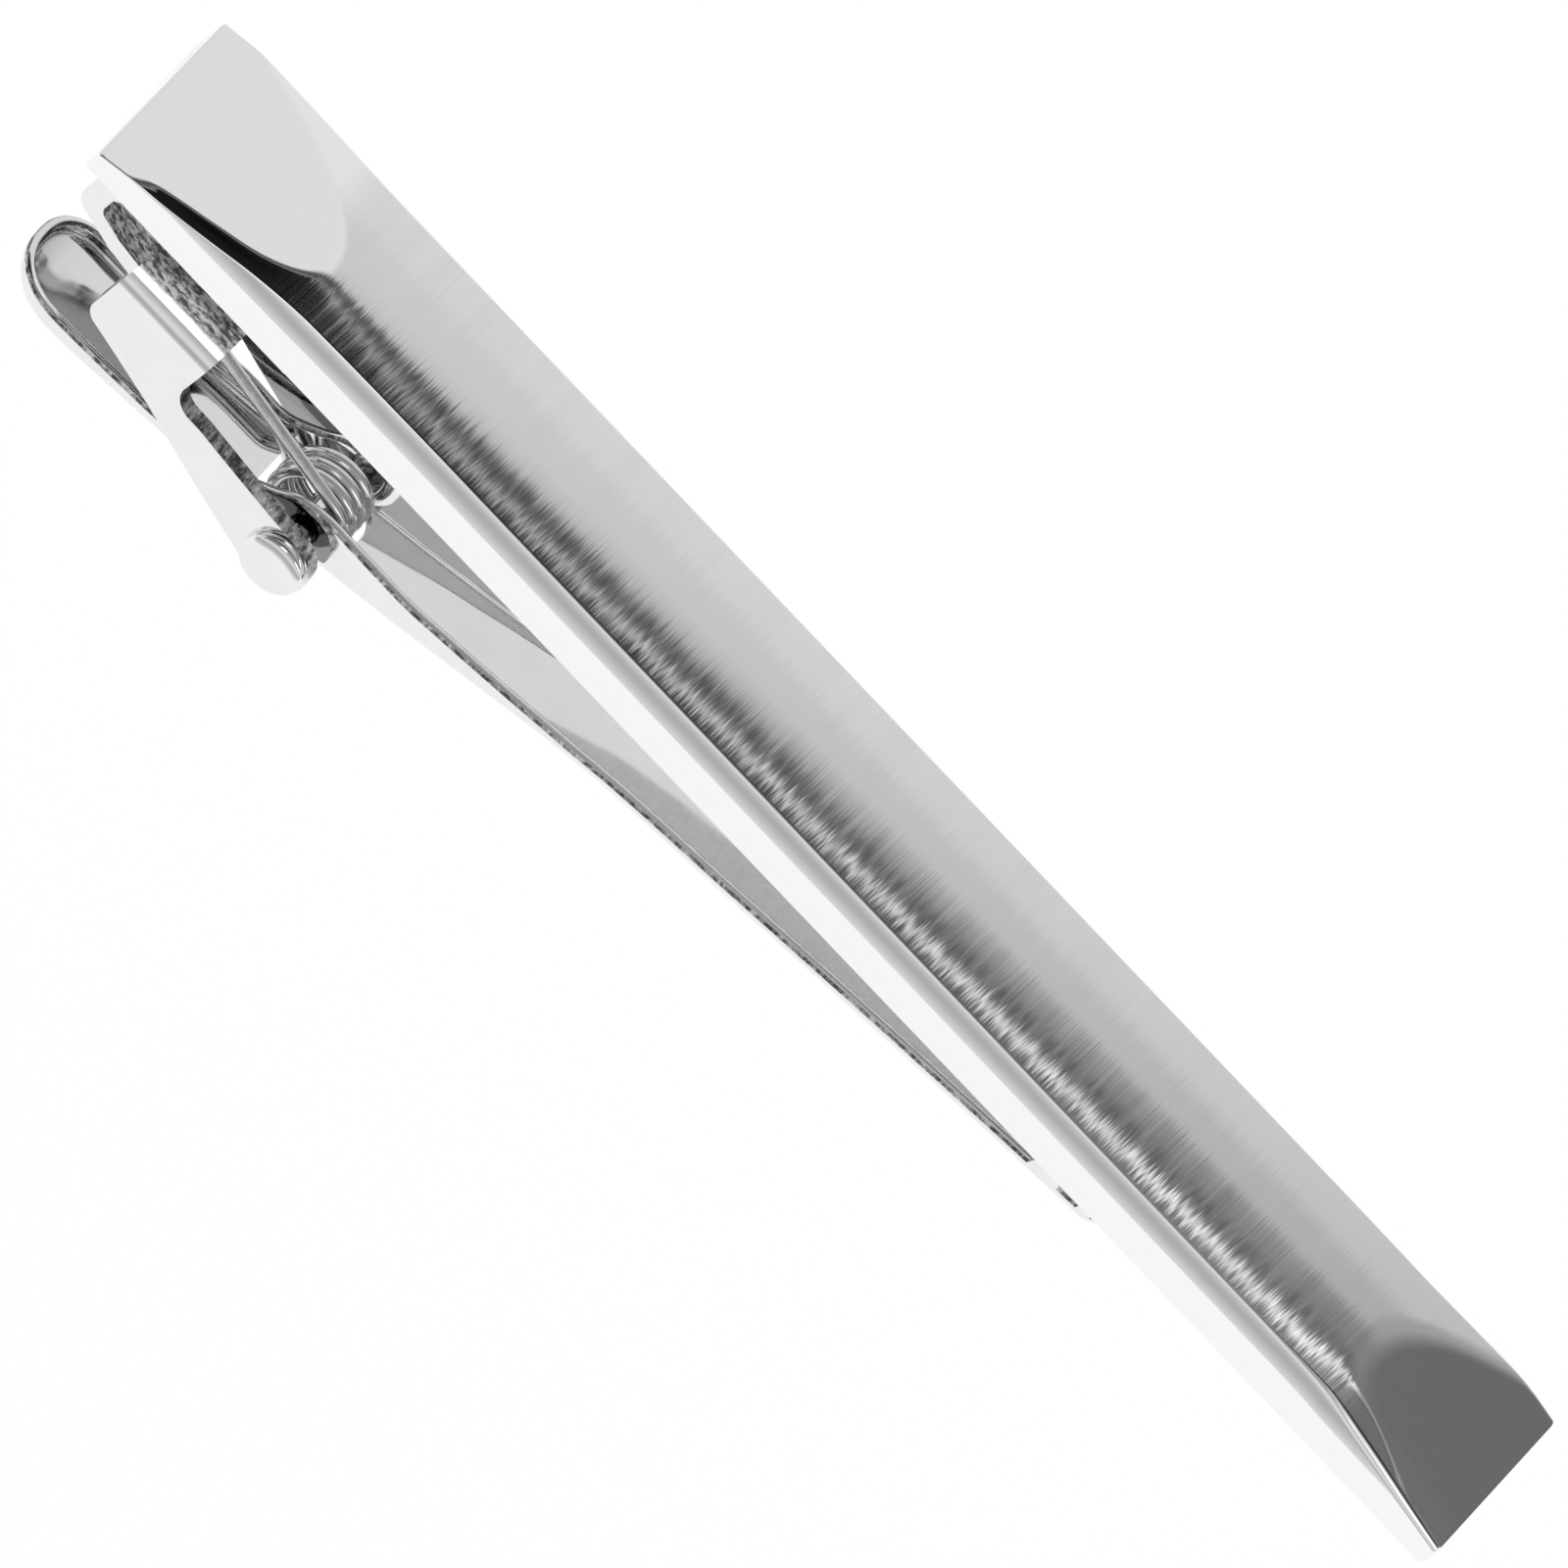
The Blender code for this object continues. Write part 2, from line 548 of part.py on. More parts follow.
def build_spring(target, surface):
    """One wire: a leg under the web, the coil round the pin and a leg on the lever's floor."""
    wire = WIRE_DIAMETER / 2.0
    radius = PIN_DIAMETER / 2.0 + COIL_PLAY + wire
    centre_x = PIN_X + COIL_SHIFT_X
    centre_z = PIN_Z + COIL_SHIFT_Z
    pitch = WIRE_DIAMETER * PITCH_PER_WIRE
    start_y = -COIL_TURNS * pitch / 2.0
    web_x = -HALF_LENGTH + 4.6 * MM
    web_leg = Vector((web_x, start_y - 0.55 * MM, WEB_BOTTOM - LEG_GAP - wire))
    floor_x = -HALF_LENGTH + 6.0 * MM
    floor_z = underside_at(floor_x) + LEVER_SHEET + LEG_GAP + wire
    end_y = -start_y
    floor_leg = Vector((floor_x, end_y, floor_z))
    knee = Vector((-HALF_LENGTH + 10.6 * MM, end_y, PIN_Z + 0.24 * MM))
    # Both legs leave the coil along its tangent: the first at the top, the second low on the left.
    to_web = math.atan2(web_leg.z - centre_z, web_leg.x - centre_x)
    reach = math.hypot(web_leg.z - centre_z, web_leg.x - centre_x)
    first = to_web - math.acos(radius / reach)
    to_knee = math.atan2(knee.z - centre_z, knee.x - centre_x)
    reach = math.hypot(knee.z - centre_z, knee.x - centre_x)
    last = to_knee + math.acos(radius / reach)
    sweep = -(2.0 * math.pi * math.floor(COIL_TURNS) + (first - last) % (2.0 * math.pi))
    count = 26 * int(COIL_TURNS + 1)
    points = [web_leg]
    for index in range(count + 1):
        share = index / count
        angle = first + sweep * share
        points.append(
            Vector((
                centre_x + radius * math.cos(angle),
                start_y + (end_y - start_y) * share,
                centre_z + radius * math.sin(angle),
            ))
        )
    points += [knee, floor_leg]
    curve = bpy.data.curves.new("spring_path", "CURVE")
    curve.dimensions = "3D"
    curve.bevel_depth = wire
    curve.bevel_resolution = 2
    curve.resolution_u = 1
    curve.use_fill_caps = True
    line = curve.splines.new("POLY")
    line.points.add(len(points) - 1)
    for item, place in zip(line.points, points):
        item.co = (*place, 1.0)
    guide = bpy.data.objects.new("spring_path", curve)
    target.objects.link(guide)
    bpy.context.view_layer.update()
    graph = bpy.context.evaluated_depsgraph_get()
    mesh = bpy.data.meshes.new_from_object(guide.evaluated_get(graph))
    bpy.data.objects.remove(guide, do_unlink=True)
    spring = bpy.data.objects.new("torsion_spring", mesh)
    target.objects.link(spring)
    return finish(spring, "torsion_spring", surface, math.radians(50.0))


def main():
    clear_scene()
    clip = collection("tie_clip")
    cutters = collection("cutters", hidden=True)
    steel = material("polished_plated_steel", (0.80, 0.81, 0.82), 1.0, 0.12)
    brushed = material("brushed_plated_steel", (0.62, 0.63, 0.64), 1.0, 0.32)
    wire = material("spring_steel_wire", (0.55, 0.56, 0.57), 1.0, 0.25)
    bright = material("plated_rivet", (0.84, 0.84, 0.83), 1.0, 0.10)
    build_bar(clip, brushed)
    build_bracket(clip, cutters, steel)
    build_pin(clip, bright)
    lever = build_lever(clip, cutters, steel)
    build_spring(clip, wire)
    axis = bpy.data.objects.new("lever_hinge_axis", None)
    axis.location = (PIN_X, 0.0, PIN_Z)
    clip.objects.link(axis)
    bpy.context.view_layer.update()
    lever.parent = axis
    lever.matrix_parent_inverse = axis.matrix_world.inverted()
    for obj in cutters.objects:
        obj.hide_render = True
        obj.display_type = "WIRE"


main()
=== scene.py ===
"""Tie clip with a sprung pinch clasp: the fine model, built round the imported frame.

Everything is in metres in the frame's own axes: X runs along the bar from the clasp end to the
free end, Z points out of the domed front and the flat back of the bar lies at Z = 0.
"""

import logging
import math
from dataclasses import dataclass, field
from enum import Enum

import bmesh
import bpy
import numpy as np
from mathutils import Matrix, Vector


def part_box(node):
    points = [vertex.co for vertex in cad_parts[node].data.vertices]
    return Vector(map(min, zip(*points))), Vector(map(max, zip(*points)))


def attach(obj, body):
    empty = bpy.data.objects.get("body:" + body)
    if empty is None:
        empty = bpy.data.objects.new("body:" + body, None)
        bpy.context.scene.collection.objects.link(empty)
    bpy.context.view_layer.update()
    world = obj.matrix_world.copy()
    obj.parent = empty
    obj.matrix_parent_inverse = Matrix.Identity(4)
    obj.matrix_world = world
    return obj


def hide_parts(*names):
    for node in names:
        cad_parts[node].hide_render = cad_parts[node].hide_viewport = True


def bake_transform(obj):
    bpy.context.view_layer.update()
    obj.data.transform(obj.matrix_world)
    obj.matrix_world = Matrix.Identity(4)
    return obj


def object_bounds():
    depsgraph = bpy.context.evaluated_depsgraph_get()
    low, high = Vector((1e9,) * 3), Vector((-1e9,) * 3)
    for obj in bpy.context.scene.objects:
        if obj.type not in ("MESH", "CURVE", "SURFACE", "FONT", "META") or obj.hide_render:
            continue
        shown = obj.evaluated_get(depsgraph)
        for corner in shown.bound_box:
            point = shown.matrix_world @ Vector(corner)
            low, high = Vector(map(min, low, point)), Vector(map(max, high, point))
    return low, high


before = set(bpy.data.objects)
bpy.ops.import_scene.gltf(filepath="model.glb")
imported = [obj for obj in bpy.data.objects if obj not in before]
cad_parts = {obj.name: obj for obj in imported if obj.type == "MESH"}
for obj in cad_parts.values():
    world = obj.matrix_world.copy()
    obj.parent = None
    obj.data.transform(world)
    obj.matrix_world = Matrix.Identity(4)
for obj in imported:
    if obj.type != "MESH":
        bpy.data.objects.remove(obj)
CAD_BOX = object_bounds()

Array = np.ndarray
MM = 0.001
HALF_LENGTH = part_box("front_bar")[1].x
BORE_RADIUS = 0.55 * MM
LOG = logging.getLogger("tie_clip")


class Body(Enum):
    """The two rigid bodies of the clip."""

    BAR = "bar_body"
    LEVER = "lever_body"


class Slot(Enum):
    """The record's material slots."""

    BAR = "brushed_bar"
    PLATE = "polished_plate"
    RIVET = "bright_rivet"
    WIRE = "spring_wire"


# ---------------------------------------------------------------------------------------------
# Shapes
# ---------------------------------------------------------------------------------------------


def hermite(stations: tuple[tuple[float, float], ...], at: Array) -> Array:
    """Smooth curve through (position, value) stations.

    Cubic Hermite pieces whose slope at a station is the mean of the slopes on its two sides, or
    zero where those slopes differ in sign, so that the curve never overshoots.

    Args:
        stations: Positions and values, with positions rising.
        at: Positions to read the curve at; outside the stations it keeps its end value.

    Returns:
        The curve's value at each position.
    """
    x, y = np.array(stations, dtype=float).T
    secant = np.diff(y) / np.diff(x)
    slope = np.zeros_like(y)
    slope[0], slope[-1] = secant[0], secant[-1]
    agree = secant[:-1] * secant[1:] > 0
    slope[1:-1] = np.where(agree, (secant[:-1] + secant[1:]) / 2.0, 0.0)
    place = np.clip(at, x[0], x[-1])
    cell = np.clip(np.searchsorted(x, place, side="right") - 1, 0, len(x) - 2)
    width = x[cell + 1] - x[cell]
    t = (place - x[cell]) / width
    return (
        (2 * t**3 - 3 * t**2 + 1) * y[cell]
        + (t**3 - 2 * t**2 + t) * width * slope[cell]
        + (3 * t**2 - 2 * t**3) * y[cell + 1]
        + (t**3 - t**2) * width * slope[cell + 1]
    )


def smoothstep(low: float, high: float, value: Array) -> Array:
    """0 below low, 1 above high, and 3t^2 - 2t^3 between them."""
    t = np.clip((value - low) / (high - low), 0.0, 1.0)
    return t * t * (3.0 - 2.0 * t)


def soft_min(first: Array, second: Array, blend: float) -> Array:
    """The smaller of two heights, with the crease rounded over a blend width.

    Where the two differ by less than the width, the quadratic width * (1 - d / width)^2 / 4 is
    taken off the smaller one, d being their difference.
    """
    near = np.clip(1.0 - np.abs(first - second) / blend, 0.0, 1.0)
    return np.minimum(first, second) - blend * near**2 / 4.0


def arc(centre: tuple[float, float], radius: float, start: float, end: float, steps: int) -> Array:
    """Points of a circular arc in a plane, its angles in degrees."""
    angle = np.radians(np.linspace(start, end, steps))
    return np.column_stack(
        (centre[0] + radius * np.cos(angle), centre[1] + radius * np.sin(angle))
    )


def new_mesh(name: str, points: Array, faces: list) -> bpy.types.Object:
    """Makes a mesh object at the origin from points and faces and links it to the scene."""
    mesh = bpy.data.meshes.new(name)
    mesh.from_pydata(points.reshape(-1, 3), [], faces)
    mesh.validate()
    obj = bpy.data.objects.new(name, mesh)
    bpy.context.scene.collection.objects.link(obj)
    return obj


def grid_faces(rows: int, columns: int, close_rows: bool, close_columns: bool) -> Array:
    """Quads of a grid whose point (i, j) has the index i * columns + j.

    Args:
        rows: Number of points along the first parameter.
        columns: Number of points along the second parameter.
        close_rows: Whether the last row joins the first.
        close_columns: Whether the last column joins the first.

    Returns:
        An array of four indices for each quad.
    """
    i = np.arange(rows if close_rows else rows - 1)
    j = np.arange(columns if close_columns else columns - 1)
    i, j = (part.ravel() for part in np.meshgrid(i, j, indexing="ij"))
    after_i, after_j = (i + 1) % rows, (j + 1) % columns
    return np.column_stack(
        (i * columns + j, after_i * columns + j, after_i * columns + after_j, i * columns + after_j)
    )


def tidy(obj: bpy.types.Object, merge: float = 2e-7, sharp: float = 35.0) -> bpy.types.Object:
    """Merges doubles, turns every normal outwards and shades smooth up to a sharp angle.

    Args:
        obj: The mesh object.
        merge: Distance under which two points become one, in metres.
        sharp: Angle in degrees past which an edge stays sharp.

    Returns:
        The same object.
    """
    data = bmesh.new()
    data.from_mesh(obj.data)
    bmesh.ops.remove_doubles(data, verts=data.verts, dist=merge)
    bmesh.ops.dissolve_degenerate(data, edges=data.edges, dist=merge / 4.0)
    bmesh.ops.recalc_face_normals(data, faces=data.faces)
    data.to_mesh(obj.data)
    data.free()
    obj.data.shade_smooth()
    obj.data.set_sharp_from_angle(angle=math.radians(sharp))
    return obj


def prism(name: str, outline: Array, axis: str, low: float, high: float) -> bpy.types.Object:
    """A closed outline carried straight along one axis, with a flat face at each end.

    Args:
        name: Name of the new object.
        outline: Points of the outline in the plane of the other two axes, in their order.
        axis: "X", "Y" or "Z".
        low: Where the prism starts.
        high: Where it ends.

    Returns:
        The prism, with its normals outwards.
    """
    count = len(outline)
    columns = {"X": (1, 2, 0), "Y": (0, 2, 1), "Z": (0, 1, 2)}[axis]
    points = np.zeros((2, count, 3))
    points[:, :, columns[0]] = outline[:, 0]
    points[:, :, columns[1]] = outline[:, 1]
    points[0, :, columns[2]] = low
    points[1, :, columns[2]] = high
    faces = grid_faces(2, count, False, True).tolist()
    faces += [list(range(count)), list(range(2 * count - 1, count - 1, -1))]
    return tidy(new_mesh(name, points, faces))


def lathe(name: str, profile: Array, centre: Vector, segments: int) -> bpy.types.Object:
    """A profile of (radius, distance along Y) turned once round a Y axis through a point.

    Args:
        name: Name of the new object.
        profile: Radius and Y of each profile point, from one pole to the other.
        centre: A point on the axis.
        segments: Number of steps round the axis.

    Returns:
        The turned body, closed at both poles.
    """
    angle = np.linspace(0.0, 2.0 * np.pi, segments, endpoint=False)
    radius, along = profile[:, 0], profile[:, 1]
    points = np.stack(
        (
            centre.x + radius[:, None] * np.cos(angle),
            centre.y + along[:, None] + np.zeros_like(angle),
            centre.z + radius[:, None] * np.sin(angle),
        ),
        axis=-1,
    )
    return tidy(new_mesh(name, points, grid_faces(len(profile), segments, False, True).tolist()))


def tube(name: str, path: Array, radius: float, sides: int) -> bpy.types.Object:
    """A round wire along a path, with a rounded cap at each end.

    The ring at each point lies square to the path. Its two axes are found by carrying the first
    ring's axes from point to point and taking off what lies along the path.

    Args:
        name: Name of the new object.
        path: Points along the wire's middle.
        radius: Wire radius.
        sides: Points round each ring.

    Returns:
        The wire, closed at both ends.
    """
    direction = np.gradient(path, axis=0)
    direction /= np.linalg.norm(direction, axis=1)[:, None]
    side = np.zeros_like(path)
    carried = np.cross(direction[0], (0.0, 1.0, 0.0))
    for index, heading in enumerate(direction):
        carried = carried - heading * carried.dot(heading)
        carried /= np.linalg.norm(carried)
        side[index] = carried
    up = np.cross(direction, side)
    cap = np.radians(np.array([0.0, 30.0, 60.0, 84.0]))
    reach = radius * 0.35
    starts = [path[0] - direction[0] * reach * math.sin(a) for a in cap[::-1]]
    ends = [path[-1] + direction[-1] * reach * math.sin(a) for a in cap]
    middle = np.vstack((starts, path, ends))
    width = radius * np.concatenate((np.cos(cap[::-1]), np.ones(len(path)), np.cos(cap)))
    side = np.vstack((np.repeat(side[:1], 4, 0), side, np.repeat(side[-1:], 4, 0)))
    up = np.vstack((np.repeat(up[:1], 4, 0), up, np.repeat(up[-1:], 4, 0)))
    angle = np.linspace(0.0, 2.0 * np.pi, sides, endpoint=False)
    ring = side[:, None] * np.cos(angle)[:, None] + up[:, None] * np.sin(angle)[:, None]
    points = middle[:, None] + ring * width[:, None, None]
    rows = len(middle)
    faces = grid_faces(rows, sides, False, True).tolist()
    faces += [list(range(sides)), list(range(rows * sides - 1, (rows - 1) * sides - 1, -1))]
    return tidy(new_mesh(name, points, faces), merge=1e-8)


def combine(obj: bpy.types.Object, cutter: bpy.types.Object, operation: str) -> None:
    """Applies an exact Boolean, keeps its result as the object's mesh and removes the cutter."""
    modifier = obj.modifiers.new(operation, "BOOLEAN")
    modifier.operation = operation
    modifier.solver = "EXACT"
    modifier.object = cutter
    modifier.material_mode = "TRANSFER"
    bpy.context.view_layer.update()
    graph = bpy.context.evaluated_depsgraph_get()
    made = bpy.data.meshes.new_from_object(obj.evaluated_get(graph))
    obj.modifiers.clear()
    obj.data = made
    bpy.data.objects.remove(cutter, do_unlink=True)


def soften(obj: bpy.types.Object, width: float, segments: int, angle: float = 32.0) -> None:
    """Rounds every sharp edge with a Bevel and leaves flat faces flat with weighted normals."""
    bevel = obj.modifiers.new("edge_round", "BEVEL")
    bevel.width = width
    bevel.segments = segments
    bevel.limit_method = "ANGLE"
    bevel.angle_limit = math.radians(angle)
    bevel.use_clamp_overlap = True
    bevel.miter_outer = "MITER_ARC"
    normals = obj.modifiers.new("flat_faces", "WEIGHTED_NORMAL")
    normals.keep_sharp = True


# ---------------------------------------------------------------------------------------------
# Finishes
# ---------------------------------------------------------------------------------------------


class Nodes:
    """A short way to write a material's node tree."""

    def __init__(self, name: str) -> None:
        """Starts a material with a Principled shader."""
        self.material = bpy.data.materials.new(name)
        self.material.use_nodes = True
        self.tree = self.material.node_tree
        self.shader = self.tree.nodes["Principled BSDF"]

    def add(self, kind: str, **settings: object) -> bpy.types.Node:
        """Adds a node and sets its properties."""
        node = self.tree.nodes.new(kind)
        for key, value in settings.items():
            setattr(node, key, value)
        return node

    def link(self, source: object, target: object) -> None:
        """Joins an output socket to an input socket."""
        self.tree.links.new(source, target)

    def math(
        self, operation: str, first: object, second: object = 0.0, clamp: bool = False
    ) -> object:
        """A Math node on two sockets or numbers; returns its output."""
        node = self.add("ShaderNodeMath", operation=operation, use_clamp=clamp)
        for socket, value in zip(node.inputs, (first, second)):
            if isinstance(value, (int, float)):
                socket.default_value = value
            else:
                self.link(value, socket)
        return node.outputs[0]

    def position(self) -> bpy.types.Node:
        """Object coordinates split into X, Y and Z."""
        place = self.add("ShaderNodeTexCoord")
        split = self.add("ShaderNodeSeparateXYZ")
        self.link(place.outputs["Object"], split.inputs[0])
        return split

    def noise(
        self,
        scale: tuple[float, float, float],
        detail: float,
        rough: float = 0.5,
        source: object = None,
    ) -> object:
        """Noise on Object coordinates, or on a vector made from them; returns its value."""
        mapping = self.add("ShaderNodeMapping")
        mapping.inputs["Scale"].default_value = scale
        noise = self.add("ShaderNodeTexNoise", normalize=True)
        noise.inputs["Scale"].default_value = 1.0
        noise.inputs["Detail"].default_value = detail
        noise.inputs["Roughness"].default_value = rough
        if source is None:
            source = self.add("ShaderNodeTexCoord").outputs["Object"]
        self.link(source, mapping.inputs["Vector"])
        self.link(mapping.outputs["Vector"], noise.inputs["Vector"])
        return noise.outputs["Fac"]

    def ease(self, value: object, low: float, high: float) -> object:
        """A smooth step from 0 to 1 between two values; returns its output."""
        node = self.add("ShaderNodeMapRange", interpolation_type="SMOOTHSTEP")
        node.inputs["From Min"].default_value = low
        node.inputs["From Max"].default_value = high
        self.link(value, node.inputs["Value"])
        return node.outputs["Result"]

    def curve(self, value: object, stations: tuple[tuple[float, float], ...]) -> object:
        """A chain of smooth steps through (millimetres, value) stations; returns its output."""
        total: object = stations[0][1]
        for (low, first), (high, second) in zip(stations[:-1], stations[1:]):
            step = self.ease(value, low * MM, high * MM)
            total = self.math("ADD", self.math("MULTIPLY", step, second - first), total)
        return total

    def spread(
        self, value: object, low: float, high: float, out_low: float, out_high: float
    ) -> object:
        """Maps a value from one range to another, held at the ends; returns its output."""
        node = self.add("ShaderNodeMapRange")
        node.inputs["From Min"].default_value = low
        node.inputs["From Max"].default_value = high
        node.inputs["To Min"].default_value = out_low
        node.inputs["To Max"].default_value = out_high
        self.link(value, node.inputs["Value"])
        return node.outputs["Result"]

    def mix(self, share: object, first: object, second: object) -> object:
        """Mixes two values by a share; returns the mixed value."""
        node = self.add("ShaderNodeMix", data_type="FLOAT")
        self.link(share, node.inputs["Factor"])
        self.link(first, node.inputs[2])
        self.link(second, node.inputs[3])
        return node.outputs[0]

    def blend(self, share: object, first: tuple | object, second: tuple | object) -> object:
        """Mixes two colours by a share; returns the mixed colour."""
        node = self.add("ShaderNodeMix", data_type="RGBA")
        self.link(share, node.inputs["Factor"])
        for socket, value in ((node.inputs[6], first), (node.inputs[7], second)):
            if isinstance(value, tuple):
                socket.default_value = (*value, 1.0)
            else:
                self.link(value, socket)
        return node.outputs[2]

    def bump(
        self, height: object, strength: float, distance: float, after: object = None
    ) -> object:
        """A Bump node on a height; returns its normal."""
        node = self.add("ShaderNodeBump")
        node.inputs["Strength"].default_value = strength
        node.inputs["Distance"].default_value = distance
        self.link(height, node.inputs["Height"])
        if after is not None:
            self.link(after, node.inputs["Normal"])
        return node.outputs["Normal"]


@dataclass(frozen=True)
class BarFinish:
    """Brushed dome with polished side walls and end bevels, and a cast, unpolished back."""

    colour: tuple[float, float, float] = (0.80, 0.80, 0.805)
    polished_colour: tuple[float, float, float] = (0.92, 0.92, 0.925)
    cast_colour: tuple[float, float, float] = (0.78, 0.78, 0.79)
    brushed_roughness: float = 0.20
    polished_roughness: float = 0.05
    cast_roughness: float = 0.45
    anisotropy: float = 0.93
    line_width: float = 0.055 * MM
    line_length: float = 1.1 * MM
    line_slant: float = 0.057
    flank: tuple[float, float] = (1.35 * MM, 1.9 * MM)
    bump_depth: float = 0.0017 * MM
    glint: float = 0.15
    # Tone range of the painted glints streaked across the near flank.
    flank_glint_tones: tuple[float, float] = (0.66, 1.16)
    cast_grain: float = 0.22 * MM
    cast_depth: float = 0.05 * MM

    def make(self) -> bpy.types.Material:
        """Builds the material; the mesh's own "brushed" attribute says where the brushing is.

        The brush lines run across the bar, at a slight slant: noise much longer along Y than
        along X drives tone, gloss and a very fine relief. On the near flank, stronger streaks of
        lighter and darker tone are painted glints, and a small random tilt of the surface along Y
        frays the edges of what it mirrors. The gloss itself is wider along X than along Y.
        """
        nodes = Nodes("brushed_and_polished_bar")
        brushed = nodes.add("ShaderNodeAttribute", attribute_name="brushed").outputs["Fac"]
        cast = nodes.add("ShaderNodeAttribute", attribute_name="cast").outputs["Fac"]
        place = nodes.position()
        skewed = nodes.add("ShaderNodeCombineXYZ")
        slant = nodes.math("MULTIPLY", place.outputs[1], self.line_slant)
        nodes.link(nodes.math("SUBTRACT", place.outputs[0], slant), skewed.inputs["X"])
        nodes.link(place.outputs[1], skewed.inputs["Y"])
        lay = skewed.outputs[0]
        fine = nodes.noise((1.0 / self.line_width, 0.16 / self.line_length, 0.0), 3.0, 0.6, lay)
        long = nodes.noise((0.45 / self.line_width, 0.09 / self.line_length, 0.0), 2.0, 0.5, lay)
        broad = nodes.noise((0.06 / self.line_width, 0.10 / self.line_length, 0.0), 2.0, 0.5, lay)
        glint_noise = nodes.noise((0.30 / self.line_width, 0.40 / self.line_length, 0.0), 3.0, 0.6, lay)
        near = nodes.ease(nodes.math("MULTIPLY", place.outputs[1], -1.0), *self.flank)
        lines = nodes.math("MULTIPLY", nodes.math("ADD", fine, long), 0.5)
        rough = nodes.spread(
            nodes.math("MULTIPLY", nodes.math("ADD", lines, broad), 0.5),
            0.35, 0.65, self.brushed_roughness - 0.05, self.brushed_roughness + 0.06,
        )
        haze = nodes.noise((260.0, 260.0, 260.0), 3.0)
        polished = nodes.spread(
            haze, 0.3, 0.7, self.polished_roughness - 0.015, self.polished_roughness + 0.02
        )
        grain = nodes.noise((1.0 / self.cast_grain,) * 3, 6.0, 0.65)
        dull = nodes.spread(grain, 0.3, 0.7, self.cast_roughness - 0.12, self.cast_roughness + 0.15)
        face = nodes.mix(brushed, polished, rough)
        nodes.link(nodes.mix(cast, face, dull), nodes.shader.inputs["Roughness"])
        shade = nodes.math(
            "MULTIPLY",
            nodes.spread(lines, 0.35, 0.65, 0.96, 1.02),
            nodes.spread(broad, 0.3, 0.7, 0.96, 1.03),
        )
        # Painted glints: the near flank's tone is streaked lighter and darker, standing in for
        # reflections caught there.
        painted_glint = nodes.math("SUBTRACT", nodes.spread(glint_noise, 0.38, 0.64, *self.flank_glint_tones), 1.0)
        painted_glint = nodes.math("ADD", nodes.math("MULTIPLY", painted_glint, near), 1.0)
        shade = nodes.math("MULTIPLY", shade, painted_glint)
        tone = nodes.add("ShaderNodeVectorMath", operation="SCALE")
        tone.inputs[0].default_value = self.colour
        nodes.link(shade, tone.inputs["Scale"])
        metal = nodes.blend(brushed, self.polished_colour, tone.outputs[0])
        dark = tuple(0.70 * part for part in self.cast_colour)
        raw = nodes.blend(nodes.spread(grain, 0.35, 0.62, 0.0, 1.0), dark, self.cast_colour)
        nodes.link(nodes.blend(cast, metal, raw), nodes.shader.inputs["Base Color"])
        relief = nodes.math("ADD", lines, nodes.math("MULTIPLY", broad, 0.9))
        relief = nodes.math("MULTIPLY", relief, brushed)
        smooth = nodes.bump(relief, 1.0, self.bump_depth)
        glint = nodes.noise((1.0 / self.line_width, 0.20 / self.line_length, 0.0), 2.0, 0.6, lay)
        patch = nodes.noise((0.14 / self.line_width, 1.6 / self.line_length, 0.0), 1.0, 0.5, lay)
        lift = nodes.math("MULTIPLY", nodes.math("SUBTRACT", glint, 0.5), self.glint)
        lift = nodes.math("MULTIPLY", lift, nodes.spread(patch, 0.35, 0.65, 0.8, 1.4))
        push = nodes.add("ShaderNodeCombineXYZ")
        nodes.link(nodes.math("MULTIPLY", lift, brushed), push.inputs["Y"])
        turned = nodes.add("ShaderNodeVectorMath", operation="ADD")
        nodes.link(smooth, turned.inputs[0])
        nodes.link(push.outputs[0], turned.inputs[1])
        unit = nodes.add("ShaderNodeVectorMath", operation="NORMALIZE")
        nodes.link(turned.outputs[0], unit.inputs[0])
        nodes.link(
            nodes.bump(nodes.math("MULTIPLY", grain, cast), 1.0, self.cast_depth, unit.outputs[0]),
            nodes.shader.inputs["Normal"],
        )
        across = nodes.add("ShaderNodeTangent", direction_type="UV_MAP", uv_map="along_bar")
        nodes.link(across.outputs[0], nodes.shader.inputs["Tangent"])
        nodes.shader.inputs["Anisotropic"].default_value = self.anisotropy
        nodes.shader.inputs["Metallic"].default_value = 1.0
        return nodes.material


